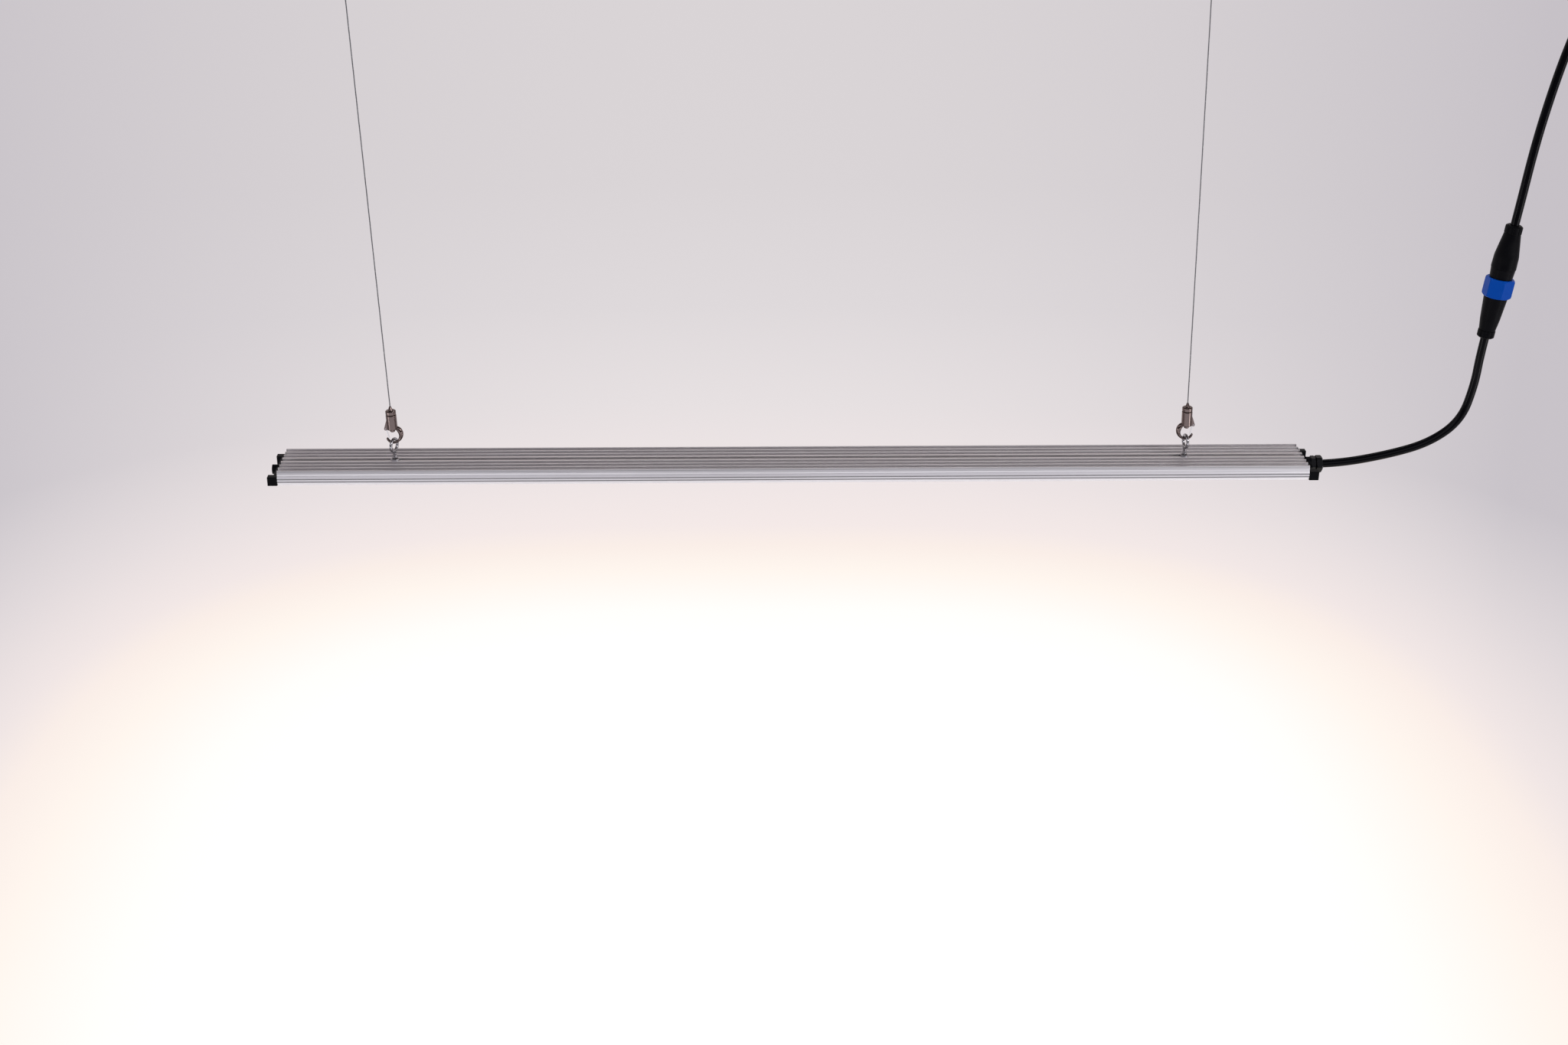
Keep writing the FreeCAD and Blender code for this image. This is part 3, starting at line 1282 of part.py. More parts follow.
def supply_lead():
    far = CONNECTOR_LENGTH
    route = [along_connector(far - LEAD_IN_CONNECTOR), along_connector(far + LEAD_STRAIGHT)]
    route += SUPPLY_LEAD_ROUTE
    return tube([Vector(x, 0, z) for x, z in route], LEAD_DIA, "supply_lead")


# ================= assembly =================


def save(name, shape):
    shape.exportStep("parts/" + name + ".step")
    solids = shape.Solids
    valid = all(solid.isValid() and solid.Volume > 0 for solid in solids)
    volume = sum(solid.Volume for solid in solids)
    print(f"{name}: {len(solids)} solid(s), {volume:.1f} mm3, valid {valid}")


def save_bar():
    pieces = {
        "housing": housing(),
        "lens": lens(),
        "lens_seals": lens_seals(),
        "thermal_tape": thermal_tape(),
        "led_board": led_board(),
        "white_leds": white_leds(),
        "red_leds": red_leds(),
        "end_cap_left": end_cap_left(),
        "end_cap_right": end_cap_right(),
        "end_gasket_left": mirrored_x(end_gasket()),
        "end_gasket_right": end_gasket(),
        "cap_screws_left": mirrored_x(cap_screws()),
        "cap_screws_right": cap_screws(),
        "gland_body": gland_body(),
        "gland_nut": gland_nut(),
        "gland_seal": gland_seal(),
        "core_leads": core_leads(),
    }
    for side, x, turn in (("left", EYE_LEFT, -EYE_TURN_LEFT), ("right", EYE_RIGHT, EYE_TURN_RIGHT)):
        for name, shape in (("eye_bolt_", eye_bolt(turn)), ("slot_nut_", slot_nut())):
            shape.translate(Vector(x, 0, 0))
            pieces[name + side] = shape
    for name, shape in pieces.items():
        save(name, at_bar(shape))


def save_hangers():
    makers = {
        "hook_": hook,
        "gate_": gate,
        "gate_pin_": gate_pin,
        "gate_spring_": gate_spring,
        "gripper_barrel_": gripper_barrel,
        "plunger_": plunger,
        "plunger_spring_": plunger_spring,
        "clamp_balls_": clamp_balls,
        "wire_": wire,
        "wire_stop_": wire_stop,
    }
    for name, make in makers.items():
        save(name + "left", at_hook(make(), "left"))
        save(name + "right", at_hook(mirrored_x(make()), "right"))


def save_ceiling():
    for side in ("left", "right"):
        save("ceiling_plate_" + side, at_ceiling(ceiling_plate(), side))
        save("ceiling_cup_" + side, at_ceiling(ceiling_cup(), side))
    save("supply_outlet", supply_outlet())
    save("outlet_bush", outlet_bush())


def save_leads():
    save("clamp_nut_lower", at_connector(clamp_nut()))
    save("clamp_nut_upper", at_connector(at_upper_end(clamp_nut())))
    save("cord_grommets", at_connector(Part.makeCompound([grommet(), at_upper_end(grommet())])))
    save("socket_body", at_connector(socket_body()))
    save("contact_sockets", at_connector(contact_sockets()))
    save("contact_pins", at_connector(contact_pins()))
    save("plug_front", at_connector(plug_front()))
    save("coupling_seal", at_connector(coupling_seal()))
    save("lock_ring", at_connector(lock_ring()))
    save("plug_body", at_connector(plug_body()))
    save("lamp_lead", at_bar(lamp_lead()))
    save("supply_lead", at_bar(supply_lead()))


os.makedirs("parts", exist_ok=True)
save_bar()
save_hangers()
save_ceiling()
save_leads()
print("bar shift", round(BAR_SHIFT, 3), "anchors at", round(ANCHOR_HALF, 3))
print("hook seat", round(HOOK_UP - DROP, 3))
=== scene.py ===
# %% [markdown]
# # A slim grow lamp on two wires
#
# The lamp is a long finned bar of aluminium with an opal lens below. Two ring bolts stand in
# the slot along its top, a snap hook with a wire gripper holds each of them, and a black lead
# comes out of the right end cap, through a connector with a blue ring, up to the ceiling.
# The construction is already made and packed. This script gives every piece its surface, makes
# what bends or is pressed together - the leads, the stranded wires and two small coils - and
# sets the camera and the light.

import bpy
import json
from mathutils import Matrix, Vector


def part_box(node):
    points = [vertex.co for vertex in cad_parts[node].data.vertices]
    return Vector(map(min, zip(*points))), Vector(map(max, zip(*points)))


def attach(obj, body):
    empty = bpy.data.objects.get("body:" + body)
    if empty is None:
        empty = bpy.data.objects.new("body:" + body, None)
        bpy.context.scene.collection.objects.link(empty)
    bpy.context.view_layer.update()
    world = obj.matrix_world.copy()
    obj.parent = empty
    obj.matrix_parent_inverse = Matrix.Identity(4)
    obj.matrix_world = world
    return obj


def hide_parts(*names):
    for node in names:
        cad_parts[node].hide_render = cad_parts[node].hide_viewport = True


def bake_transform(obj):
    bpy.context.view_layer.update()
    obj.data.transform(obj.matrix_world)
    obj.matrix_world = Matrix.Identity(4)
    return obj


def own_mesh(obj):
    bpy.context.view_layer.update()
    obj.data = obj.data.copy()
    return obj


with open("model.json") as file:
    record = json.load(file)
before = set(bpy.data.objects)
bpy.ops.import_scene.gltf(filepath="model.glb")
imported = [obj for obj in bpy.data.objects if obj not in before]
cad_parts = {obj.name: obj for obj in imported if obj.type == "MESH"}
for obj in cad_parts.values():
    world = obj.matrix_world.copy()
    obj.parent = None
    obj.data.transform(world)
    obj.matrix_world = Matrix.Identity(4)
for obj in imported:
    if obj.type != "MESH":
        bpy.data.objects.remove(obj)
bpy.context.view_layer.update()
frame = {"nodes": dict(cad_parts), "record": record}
nodes = frame["nodes"]

# %% Modules and units
import json
import math

import bpy
from mathutils import Matrix, Vector

MM = 0.001
bar_low, bar_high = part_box("housing")
bar_middle = Vector(((bar_low.x + bar_high.x) / 2, 0, bar_high.z))
print("bar from", round(bar_low.x, 4), "to", round(bar_high.x, 4))
print("fin tips at", round(bar_high.z, 4))

# %% [markdown]
# ## The camera
#
# A camera is a place, a direction and a focal length. It could be aimed with a Track To
# constraint, but the picture is also turned a little about the line of sight, so its three axes
# are worked out from a pitch, a yaw and a roll and set as one matrix.

# %% Place and aim the camera
CAMERA_AT = Vector((-0.0745, -2.3295, 0.409))
PITCH_DOWN = math.radians(24.93)
YAW_RIGHT = math.radians(2.06)
ROLL = math.radians(0.52)
LENS_MM = 49.57
SENSOR_MM = 36.0

forward = Vector((
    math.sin(YAW_RIGHT) * math.cos(PITCH_DOWN),
    math.cos(YAW_RIGHT) * math.cos(PITCH_DOWN),
    -math.sin(PITCH_DOWN),
))
level_right = Vector((math.cos(YAW_RIGHT), -math.sin(YAW_RIGHT), 0))
level_up = level_right.cross(forward)
right = level_right * math.cos(ROLL) + level_up * math.sin(ROLL)
up = level_up * math.cos(ROLL) - level_right * math.sin(ROLL)

camera_data = bpy.data.cameras.new("camera")
camera_data.lens = LENS_MM
camera_data.sensor_width = SENSOR_MM
camera = bpy.data.objects.new("camera", camera_data)
camera_turn = Matrix((right, up, -forward)).transposed().to_4x4()
camera.matrix_world = Matrix.Translation(CAMERA_AT) @ camera_turn
bpy.context.scene.collection.objects.link(camera)
bpy.context.scene.camera = camera
bpy.context.scene.view_settings.view_transform = "Standard"
print("camera at", tuple(CAMERA_AT), "looking along", tuple(round(c, 3) for c in forward))

# %% [markdown]
# ## Routes of the cords
#
# A lead is stiff and heavy, so it lies in long smooth bends. Straight pieces joined by arcs look
# like bent wire; a NURBS curve pulled by a few control points bends as rubber does. The curve is
# never shown: its points are read back and the visible tube or strands are laid along them.

# %% A smooth line through control points
def smooth_line(name, points, steps):
    """Points along a NURBS curve of order 3 that starts and ends on its outer control points."""
    curve = bpy.data.curves.new(name, "CURVE")
    curve.dimensions = "3D"
    curve.resolution_u = steps
    spline = curve.splines.new("NURBS")
    spline.points.add(len(points) - 1)
    for knot, point in zip(spline.points, points):
        knot.co = (*point, 1)
    spline.order_u = 3
    spline.use_endpoint_u = True
    holder = bpy.data.objects.new(name, curve)
    mesh = bpy.data.meshes.new_from_object(holder)
    line = [vertex.co.copy() for vertex in mesh.vertices]
    bpy.data.meshes.remove(mesh)
    bpy.data.curves.remove(curve)
    return line


def line_length(line):
    return sum((b - a).length for a, b in zip(line, line[1:]))


# %% [markdown]
# The two leads meet in the connector, which hangs tilted a little from upright. Its ends are
# given along its own axis, so that both routes enter it straight. All other points are metres
# from the middle of the bar's fin tips.

# %% Route of the lower lead and of the upper lead
LEAD_DIAMETER = 9.8 * MM
CONNECTOR_TILT = math.radians(6.15)
CONNECTOR_LENGTH = 0.1354
CONNECTOR_AT = Vector((0.7963, 0, 0.1467))
LEAD_IN_CONNECTOR = 0.014
LEAD_STRAIGHT = 0.022
LEAD_STEPS = 16
connector_axis = Vector((math.sin(CONNECTOR_TILT), 0, math.cos(CONNECTOR_TILT)))


def on_connector(distance):
    """A place on the connector's axis, that far above its lower end."""
    return CONNECTOR_AT + connector_axis * distance


LAMP_LEAD_ROUTE = [
    Vector((0.6096, 0, -0.0119)), Vector((0.6410, 0, -0.0119)), Vector((0.7010, 0, -0.0006)),
    Vector((0.7490, 0, 0.0145)), Vector((0.7830, 0, 0.0430)), Vector((0.7926, 0, 0.0880)),
    on_connector(-LEAD_STRAIGHT), on_connector(LEAD_IN_CONNECTOR),
]
SUPPLY_LEAD_ROUTE = [
    on_connector(CONNECTOR_LENGTH - LEAD_IN_CONNECTOR),
    on_connector(CONNECTOR_LENGTH + LEAD_STRAIGHT),
    Vector((0.8196, 0, 0.3720)), Vector((0.8285, 0, 0.4300)), Vector((0.8386, 0, 0.4800)),
    Vector((0.8500, 0, 0.5200)), Vector((0.8570, 0, 0.5460)), Vector((0.8570, 0, 0.5700)),
]
lamp_line = smooth_line("lamp_route", [bar_middle + p for p in LAMP_LEAD_ROUTE], LEAD_STEPS)
supply_line = smooth_line("supply_route", [bar_middle + p for p in SUPPLY_LEAD_ROUTE], LEAD_STEPS)
print("lower lead", round(line_length(lamp_line), 4), "m")
print("upper lead", round(line_length(supply_line), 4), "m")

# %% [markdown]
# ## Tubes along a line
#
# A bevelled curve gives a tube too, but a mesh tube can bend with the lamp when it swings. Each
# point of the line gets a ring of vertices square to the line. To keep the rings from twisting,
# each frame is the one before it turned by as little as the line itself turns.

# %% Frames along a line
def frames_along(line):
    """For each point of a line, two directions square to it that turn no more than the line."""
    tangents = []
    for i in range(len(line)):
        before = line[max(i - 1, 0)]
        after = line[min(i + 1, len(line) - 1)]
        tangents.append((after - before).normalized())
    side = tangents[0].orthogonal().normalized()
    frames = []
    previous = tangents[0]
    for tangent in tangents:
        side = previous.rotation_difference(tangent) @ side
        side = (side - tangent * side.dot(tangent)).normalized()
        frames.append((side, tangent.cross(side)))
        previous = tangent
    return frames


# %% Rings, tubes and the mesh that holds them
def circle_on(at, frame_at, radius, count):
    """A ring of places about a point, square to the line there."""
    side, across = frame_at
    ring = []
    for k in range(count):
        angle = 2 * math.pi * k / count
        ring.append(at + side * (radius * math.cos(angle)) + across * (radius * math.sin(angle)))
    return ring


def add_tube(vertices, faces, rings):
    """Adds a closed tube to a mesh in the making: all of its rings have the same count."""
    base = len(vertices)
    count = len(rings[0])
    for ring in rings:
        vertices.extend(ring)
    for i in range(len(rings) - 1):
        for k in range(count):
            a = base + i * count + k
            b = base + i * count + (k + 1) % count
            faces.append((a, b, b + count, a + count))
    faces.append(tuple(base + k for k in reversed(range(count))))
    last = base + (len(rings) - 1) * count
    faces.append(tuple(last + k for k in range(count)))


def mesh_object(name, vertices, faces, smooth=True):
    mesh = bpy.data.meshes.new(name)
    mesh.from_pydata(vertices, [], faces)
    mesh.validate()
    for polygon in mesh.polygons:
        polygon.use_smooth = smooth
    made = bpy.data.objects.new(name, mesh)
    bpy.context.scene.collection.objects.link(made)
    return made


# %% The two leads
LEAD_SIDES = 40


def round_tube(name, line, radius, sides):
    """A closed round tube along a line."""
    vertices, faces = [], []
    rings = [circle_on(at, square, radius, sides) for at, square in zip(line, frames_along(line))]
    add_tube(vertices, faces, rings)
    return mesh_object(name, vertices, faces)


lamp_lead = round_tube("lamp_lead_jacket", lamp_line, LEAD_DIAMETER / 2, LEAD_SIDES)
supply_lead = round_tube("supply_lead_jacket", supply_line, LEAD_DIAMETER / 2, LEAD_SIDES)
for jacket in (lamp_lead, supply_lead):
    print(jacket.name, len(jacket.data.vertices), "vertices")

# %% [markdown]
# ## The stranded wires
#
# Each wire is a steel rope: six thin strands wound round a seventh. A plain rod would look like
# a rod from nearby. The strands are helices whose angle grows with the distance along the line,
# so a thin core and six of them make the rope.

# %% Strands wound along a line
WIRE_DIAMETER = 1.4 * MM
WIRE_LAY = 10.0 * MM
STRANDS = 6
STRAND_SIDES = 7
STRAND_RADIUS = WIRE_DIAMETER / 6  # three strands side by side span the wire


def stranded_wire(name, line):
    """A core and six strands wound round it, one turn for each lay."""
    frames = frames_along(line)
    vertices, faces = [], []
    core = [circle_on(at, square, STRAND_RADIUS, STRAND_SIDES) for at, square in zip(line, frames)]
    add_tube(vertices, faces, core)
    for strand in range(STRANDS):
        rings, travelled = [], 0.0
        for i, (at, (side, across)) in enumerate(zip(line, frames)):
            travelled += (at - line[i - 1]).length if i else 0.0
            angle = 2 * math.pi * (travelled / WIRE_LAY + strand / STRANDS)
            out = side * math.cos(angle) + across * math.sin(angle)
            middle = at + out * 2 * STRAND_RADIUS
            rings.append(circle_on(middle, (side, across), STRAND_RADIUS, STRAND_SIDES))
        add_tube(vertices, faces, rings)
    return mesh_object(name, vertices, faces)


# %% The left and the right wire
BOTH_SIDES = ("left", "right")
WIRE_LEAN = math.radians(1.88)
RINGS_PER_LAY = 10
WIRE_SPANS = 2  # three control points make two spans of the curve


def wire_ends(node):
    """The middles of the wire's two end faces, from its box: it leans over towards -X."""
    low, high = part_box(node)
    across = WIRE_DIAMETER / 2 * math.cos(WIRE_LEAN)
    along = WIRE_DIAMETER / 2 * math.sin(WIRE_LEAN)
    return Vector((high.x - across, 0, low.z + along)), Vector((low.x + across, 0, high.z - along))


wires, wire_lines = {}, {}
for side in BOTH_SIDES:
    low_end, top_end = wire_ends("wire_" + side)
    length = (top_end - low_end).length
    steps = int(length / WIRE_LAY * RINGS_PER_LAY / WIRE_SPANS)
    wire_route = [low_end, low_end.lerp(top_end, 0.5), top_end]
    wire_lines[side] = smooth_line("wire_route", wire_route, steps)
    wires[side] = stranded_wire("wire_strands_" + side, wire_lines[side])
    print("wire", side, round(length, 4), "m,", len(wire_lines[side]), "rings")

# %% [markdown]
# ## Shader maths as Python sums
#
# Node trees are easier to read as sums. A small class wraps one output of a node; adding or
# multiplying two of them adds the Math node that does it. Everything else - noise, ramps,
# bumps, shaders - comes from its one method, which takes a node's type, its settings and its
# sockets.

# %% A node's output with arithmetic
class Value:
    """One output of a shader node."""

    def __init__(self, tree, output):
        self.tree = tree
        self.output = output

    def node(self, kind, settings=None, sockets=None, output=0):
        """Adds a node: its settings first, then a value or a link for each socket."""
        made = self.tree.nodes.new("ShaderNode" + kind)
        for name, value in (settings or {}).items():
            if name == "stops":
                put_stops(made.color_ramp, value)
            else:
                setattr(made, name, value)
        for name, value in (sockets or {}).items():
            if isinstance(value, Value):
                self.tree.links.new(value.output, made.inputs[name])
            else:
                made.inputs[name].default_value = value
        return Value(self.tree, made.outputs[output]) if made.outputs else None

    def maths(self, operation, *values):
        return self.node("Math", {"operation": operation}, dict(enumerate(values)))

    def __add__(self, other):
        return self.maths("ADD", self, other)

    def __radd__(self, other):
        return self.maths("ADD", other, self)

    def __sub__(self, other):
        return self.maths("SUBTRACT", self, other)

    def __rsub__(self, other):
        return self.maths("SUBTRACT", other, self)

    def __mul__(self, other):
        return self.maths("MULTIPLY", self, other)

    def __rmul__(self, other):
        return self.maths("MULTIPLY", other, self)

    def __truediv__(self, other):
        return self.maths("DIVIDE", self, other)

    def __rtruediv__(self, other):
        return self.maths("DIVIDE", other, self)

    def __pow__(self, other):
        return self.maths("POWER", self, other)

    def __abs__(self):
        return self.maths("ABSOLUTE", self)


def put_stops(ramp, stops):
    """Sets a colour ramp's stops from (position, colour) pairs; a new ramp has two already."""
    for position, colour in stops[2:]:
        ramp.elements.new(position)
    for element, (position, colour) in zip(ramp.elements, sorted(stops)):
        element.position = position
        element.color = (*colour, 1)


# %% [markdown]
# The next helpers are the words that the finishes are written in: a place on the surface in
# metres and its three coordinates, the smallest of some values, noise of a given grain that may
# be stretched into lines, a soft threshold, a mix of two colours, a ramp and a bump.

# %% Places and numbers on a surface
FINISHES = {}


def new_finish(name):
    """A new material, kept under its name, and the place on its surface in metres."""
    material = FINISHES[name] = bpy.data.materials.new(name)
    material.use_nodes = True
    tree = material.node_tree
    tree.nodes.clear()
    coordinates = tree.nodes.new("ShaderNodeTexCoord")
    return Value(tree, coordinates.outputs["Object"])


def axes_of(place):
    """The three coordinates of a place, as values."""
    split = place.node("SeparateXYZ", None, {"Vector": place}).output.node
    return [Value(place.tree, output) for output in split.outputs]


def smallest(first, *others):
    for other in others:
        first = first.maths("MINIMUM", first, other)
    return first


def noise(place, per_metre, detail, stretch=(1, 1, 1)):
    """Noise from 0 to 1 with that many grains to a metre, each direction scaled by stretch."""
    moved = place.node("VectorMath", {"operation": "MULTIPLY"}, {0: place, 1: stretch})
    return place.node("TexNoise", None, {"Vector": moved, "Scale": per_metre, "Detail": detail})


def between(value, low, high, to_low=0.0, to_high=1.0):
    """A value moved from low..high to to_low..to_high, held at the ends."""
    ends = {"From Min": low, "From Max": high, "To Min": to_low, "To Max": to_high}
    return value.node("MapRange", {"clamp": True}, {"Value": value, **ends})


# %% Colours, bumps and the shader that takes them
MIX_FACTOR, MIX_FIRST, MIX_SECOND = 0, 6, 7  # inputs of a Mix node that is set to colours
MIX_COLOUR = 2  # its output


def shade(colour, factor):
    return tuple(c * factor for c in colour)


def mixed(mask, first, second):
    """A colour from first, where the mask is 0, to second, where it is 1."""
    first, second = [c if isinstance(c, Value) else (*c, 1) for c in (first, second)]
    sockets = {MIX_FACTOR: mask, MIX_FIRST: first, MIX_SECOND: second}
    return mask.node("Mix", {"data_type": "RGBA"}, sockets, MIX_COLOUR)


def ramp(value, stops):
    """A colour for each value from 0 to 1, through (position, colour) pairs."""
    return value.node("ValToRGB", {"stops": stops}, {0: value})


def bump(height, distance, strength):
    sockets = {"Height": height, "Distance": distance, "Strength": strength}
    return height.node("Bump", None, sockets)


def principled(place, sockets):
    """Closes a finish with a Principled shader."""
    shader = place.node("BsdfPrincipled", None, sockets)
    place.node("OutputMaterial", None, {"Surface": shader})


# %% [markdown]
# ## The finishes
#
# Each finish is a function, named for how the real surface is made, and each call makes the
# material of one slot of the record.
#
# The bar is drawn aluminium: fine lines run along it, because the die scores the metal. A
# picture of brushed metal could be wrapped round it, but it would repeat along so long a bar.
# Noise stretched five hundred times along X gives the lines, and they stay faint, because the
# metal is anodised. A broader noise makes the handling marks. The two grooves of each flank and
# the band under its rim are painted darker as painted shade. They are found by their heights:
# three soft bands across Z.

# %% Painted shade in the grooves of the flanks
FLANK_GROOVES = ((0.10, 0.022), (0.675, 0.045), (0.905, 0.045))  # shares of the bar's height
SHADE_ENDS, SHADE_FULL = 1.3, 0.7  # in halves of a groove, from its middle
FLANK_STARTS, FLANK_FULL = 3.5 * MM, 2.5 * MM  # in from the widest place of the bar


def groove_shade(place):
    """Where the flanks carry painted shade: 1 in the grooves and under the rim, 0 elsewhere, from
    each one's middle and half.
    """
    _, y, z = axes_of(place)
    down = (bar_high.z - z) / (bar_high.z - bar_low.z)
    nearest = smallest(*[abs(down - share) / half for share, half in FLANK_GROOVES])
    on_flank = between(abs(y), bar_high.y - FLANK_STARTS, bar_high.y - FLANK_FULL)
    return between(nearest, SHADE_ENDS, SHADE_FULL) * on_flank


# %% Drawn aluminium
ALONG_THE_BAR = (0.002, 1, 1)


def drawn_aluminium(name, colour):
    place = new_finish(name)
    lines = noise(place, per_metre=1500, detail=2.0, stretch=ALONG_THE_BAR)
    marks = noise(place, per_metre=14, detail=4.0, stretch=(0.35, 1, 1))
    tone = mixed(between(lines, 0.3, 0.7), shade(colour, 0.96), shade(colour, 1.03))
    dulled = mixed(between(marks, 0.52, 0.75, 0.0, 0.25), tone, shade(colour, 0.90))
    scored = between(lines, 0.2, 0.8, 0.29, 0.33)
    handled = between(marks, 0.45, 0.8, 0.0, 0.06)
    principled(place, {
        # painted shade: the grooves and the band under the rim take half the colour
        "Base Color": mixed(groove_shade(place), dulled, shade(colour, 0.50)),
        "Metallic": 1.0,
        "Roughness": scored + handled,
        "Normal": bump(lines, 0.004 * MM, 0.3),
    })


drawn_aluminium("bar_aluminium", (0.86, 0.84, 0.85))
print("metal of the bar:", *FINISHES)

# %% [markdown]
# The hooks, the grippers and the ring bolts are polished and plated. A mirror with nothing in it
# looks like glass, so a faint ripple and small dull spots break the reflections. The hooks and
# grippers are dark nickel, the ring bolts bright nickel, and the gates, the springs and the
# clamp balls plain steel.

# %% Polished plating
def polished_metal(name, colour, roughness):
    place = new_finish(name)
    ripple = noise(place, per_metre=260, detail=2.0)
    spots = noise(place, per_metre=900, detail=4.0)
    principled(place, {
        "Base Color": mixed(between(spots, 0.5, 0.8), colour, shade(colour, 0.88)),
        "Metallic": 1.0,
        "Roughness": between(spots, 0.4, 0.8, roughness, roughness + 0.07),
        "Normal": bump(ripple, 0.02 * MM, 0.3),
    })


polished_metal("dark_nickel", (0.185, 0.142, 0.132), 0.08)
polished_metal("bright_nickel", (0.44, 0.43, 0.445), 0.10)
polished_metal("gate_steel", (0.90, 0.89, 0.89), 0.24)
polished_metal("spring_steel", (0.45, 0.45, 0.47), 0.22)
polished_metal("ball_steel", (0.70, 0.70, 0.71), 0.08)
polished_metal("contact_brass", (0.72, 0.50, 0.20), 0.20)
print("finishes so far:", len(FINISHES))

# %% [markdown]
# The wires, the screws and the ceiling fittings are steel and nickel that was brushed and not
# polished. The brush leaves lines, which here run up and down: noise stretched twenty times
# along Z. A few duller spots are worn or greasy.

# %% Brushed steel and satin nickel
UP_AND_DOWN = (1, 1, 0.05)


def brushed_metal(name, colour, roughness):
    place = new_finish(name)
    lines = noise(place, per_metre=2200, detail=2.0, stretch=UP_AND_DOWN)
    spots = noise(place, per_metre=300, detail=3.0)
    scored = between(lines, 0.2, 0.8, roughness - 0.03, roughness + 0.04)
    worn = between(spots, 0.5, 0.8, 0.0, 0.06)
    principled(place, {
        "Base Color": mixed(between(lines, 0.3, 0.7), shade(colour, 0.94), shade(colour, 1.03)),
        "Metallic": 1.0,
        "Roughness": scored + worn,
        "Normal": bump(lines, 0.004 * MM, 0.2),
    })


brushed_metal("steel_wire", (0.30, 0.30, 0.31), 0.34)
brushed_metal("screw_steel", (0.55, 0.55, 0.58), 0.30)
brushed_metal("satin_nickel", (0.58, 0.56, 0.53), 0.28)
print("finishes so far:", len(FINISHES))

# %% [markdown]
# The caps, the gland and the connector are moulded. A moulded face copies the fine spark-eroded
# grain of its tool. It could be modelled, but its grains are a third of a millimetre wide and a
# fiftieth deep, so a bump is enough, with a roughness that follows it. A thin film of dust makes
# broad patches paler and duller.

# %% Moulded plastic
BLACK = (0.002, 0.002, 0.003)


def moulded_plastic(name, colour, roughness, grain_per_metre=2600, gloss=0.45):
    place = new_finish(name)
    grain = noise(place, grain_per_metre, detail=2.0)
    dust = noise(place, per_metre=60, detail=5.0)
    pale = tuple(c + 0.005 * (1 - c) for c in colour)
    textured = between(grain, 0.3, 0.7, roughness - 0.05, roughness + 0.07)
    dusty = between(dust, 0.45, 0.8, 0.0, 0.10)
    principled(place, {
        "Base Color": mixed(between(dust, 0.5, 0.85, 0.0, 0.7), colour, pale),
        "Roughness": textured + dusty,
        "Normal": bump(grain, 0.02 * MM, 0.4),
        "Specular IOR Level": gloss,
    })


moulded_plastic("cap_black", BLACK, 0.36, gloss=0.08)
moulded_plastic("gland_black", BLACK, 0.20, 3200, gloss=0.14)
moulded_plastic("plug_black", BLACK, 0.40, 3000, gloss=0.07)
moulded_plastic("ring_blue", (0.0005, 0.068, 0.42), 0.36, 2800, gloss=0.10)
moulded_plastic("outlet_white", (0.76, 0.76, 0.73), 0.38, 1800)
moulded_plastic("board_white", (0.78, 0.78, 0.75), 0.40, 1500)
moulded_plastic("thermal_tape", (0.52, 0.51, 0.48), 0.70, 900)
moulded_plastic("core_insulation", (0.10, 0.035, 0.013), 0.45, 1500)
print("finishes so far:", len(FINISHES))

# %% [markdown]
# The jackets of the leads and the seals are rubber, pressed through a die and not moulded. The
# skin is smooth with a shallow ripple, and no grain. In places a bloom rises to the surface,
# which is a little paler and duller.

# %% Rubber
def rubber(name, colour, roughness, gloss=0.3):
    place = new_finish(name)
    skin = noise(place, per_metre=1800, detail=3.0)
    bloom = noise(place, per_metre=35, detail=4.0)
    principled(place, {
        "Base Color": mixed(between(bloom, 0.45, 0.8), colour, shade(colour, 1.6)),
        "Roughness": between(bloom, 0.4, 0.8, roughness, roughness + 0.07),
        "Normal": bump(skin, 0.01 * MM, 0.3),
        "Specular IOR Level": gloss,
    })


rubber("lead_jacket", BLACK, 0.16, gloss=0.12)
rubber("seal_rubber", (0.020, 0.020, 0.021), 0.60)
print("finishes so far:", len(FINISHES))

# %% [markdown]
# The lens is lit from inside by two rows of white chips and one of red ones. Real light through
# the plastic would take long to render, so the lens glows by itself. The opal plastic spreads
# each chip into a soft spot, so the glow is brightest in rows under the chips and falls off to
# the lens's edges.

# %% Opal lens, lit
LED_PITCH = 25.0 * MM
LED_ROW = 11.0 * MM
GLOW_WIDTH = 9.0 * MM
GLOW_HEIGHT = 3.2 * MM
SPOT_SHARE = 0.25
EDGE_GLOW = (0.30, 0.29, 0.31)
CHIP_GLOW = (1.0, 0.93, 0.86)
LENS_GLOW = 0.75


def opal_lens(name, colour):
    place = new_finish(name)
    x, y, z = axes_of(place)
    along = (x - bar_middle.x) * (2 * math.pi / LED_PITCH)
    spots = along.maths("COSINE", along) * 0.5 + 0.5
    from_row = (abs(y) - LED_ROW) / GLOW_WIDTH
    rows = 1 / (from_row * from_row + 1)
    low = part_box("lens")[0].z
    under = between(z, low + GLOW_HEIGHT, low)
    lit = rows * (spots * SPOT_SHARE + (1 - SPOT_SHARE)) * under
    milk = noise(place, per_metre=40, detail=3.0)
    principled(place, {
        "Base Color": mixed(between(milk, 0.4, 0.7), colour, shade(colour, 0.96)),
        "Roughness": between(milk, 0.3, 0.7, 0.30, 0.38),
        "Emission Color": mixed(lit, EDGE_GLOW, CHIP_GLOW),
        "Emission Strength": LENS_GLOW,
        "Normal": bump(milk, 0.02 * MM, 0.2),
    })


opal_lens("opal_lens", (0.86, 0.85, 0.86))
print("glow repeats every", round(LED_PITCH / MM), "mm along the lens")

# %% [markdown]
# The chips sit behind the lens, under clear resin. They are seen only with the lens taken off,
# so a shiny skin with a fine grain over the yellow or red of the resin is enough.

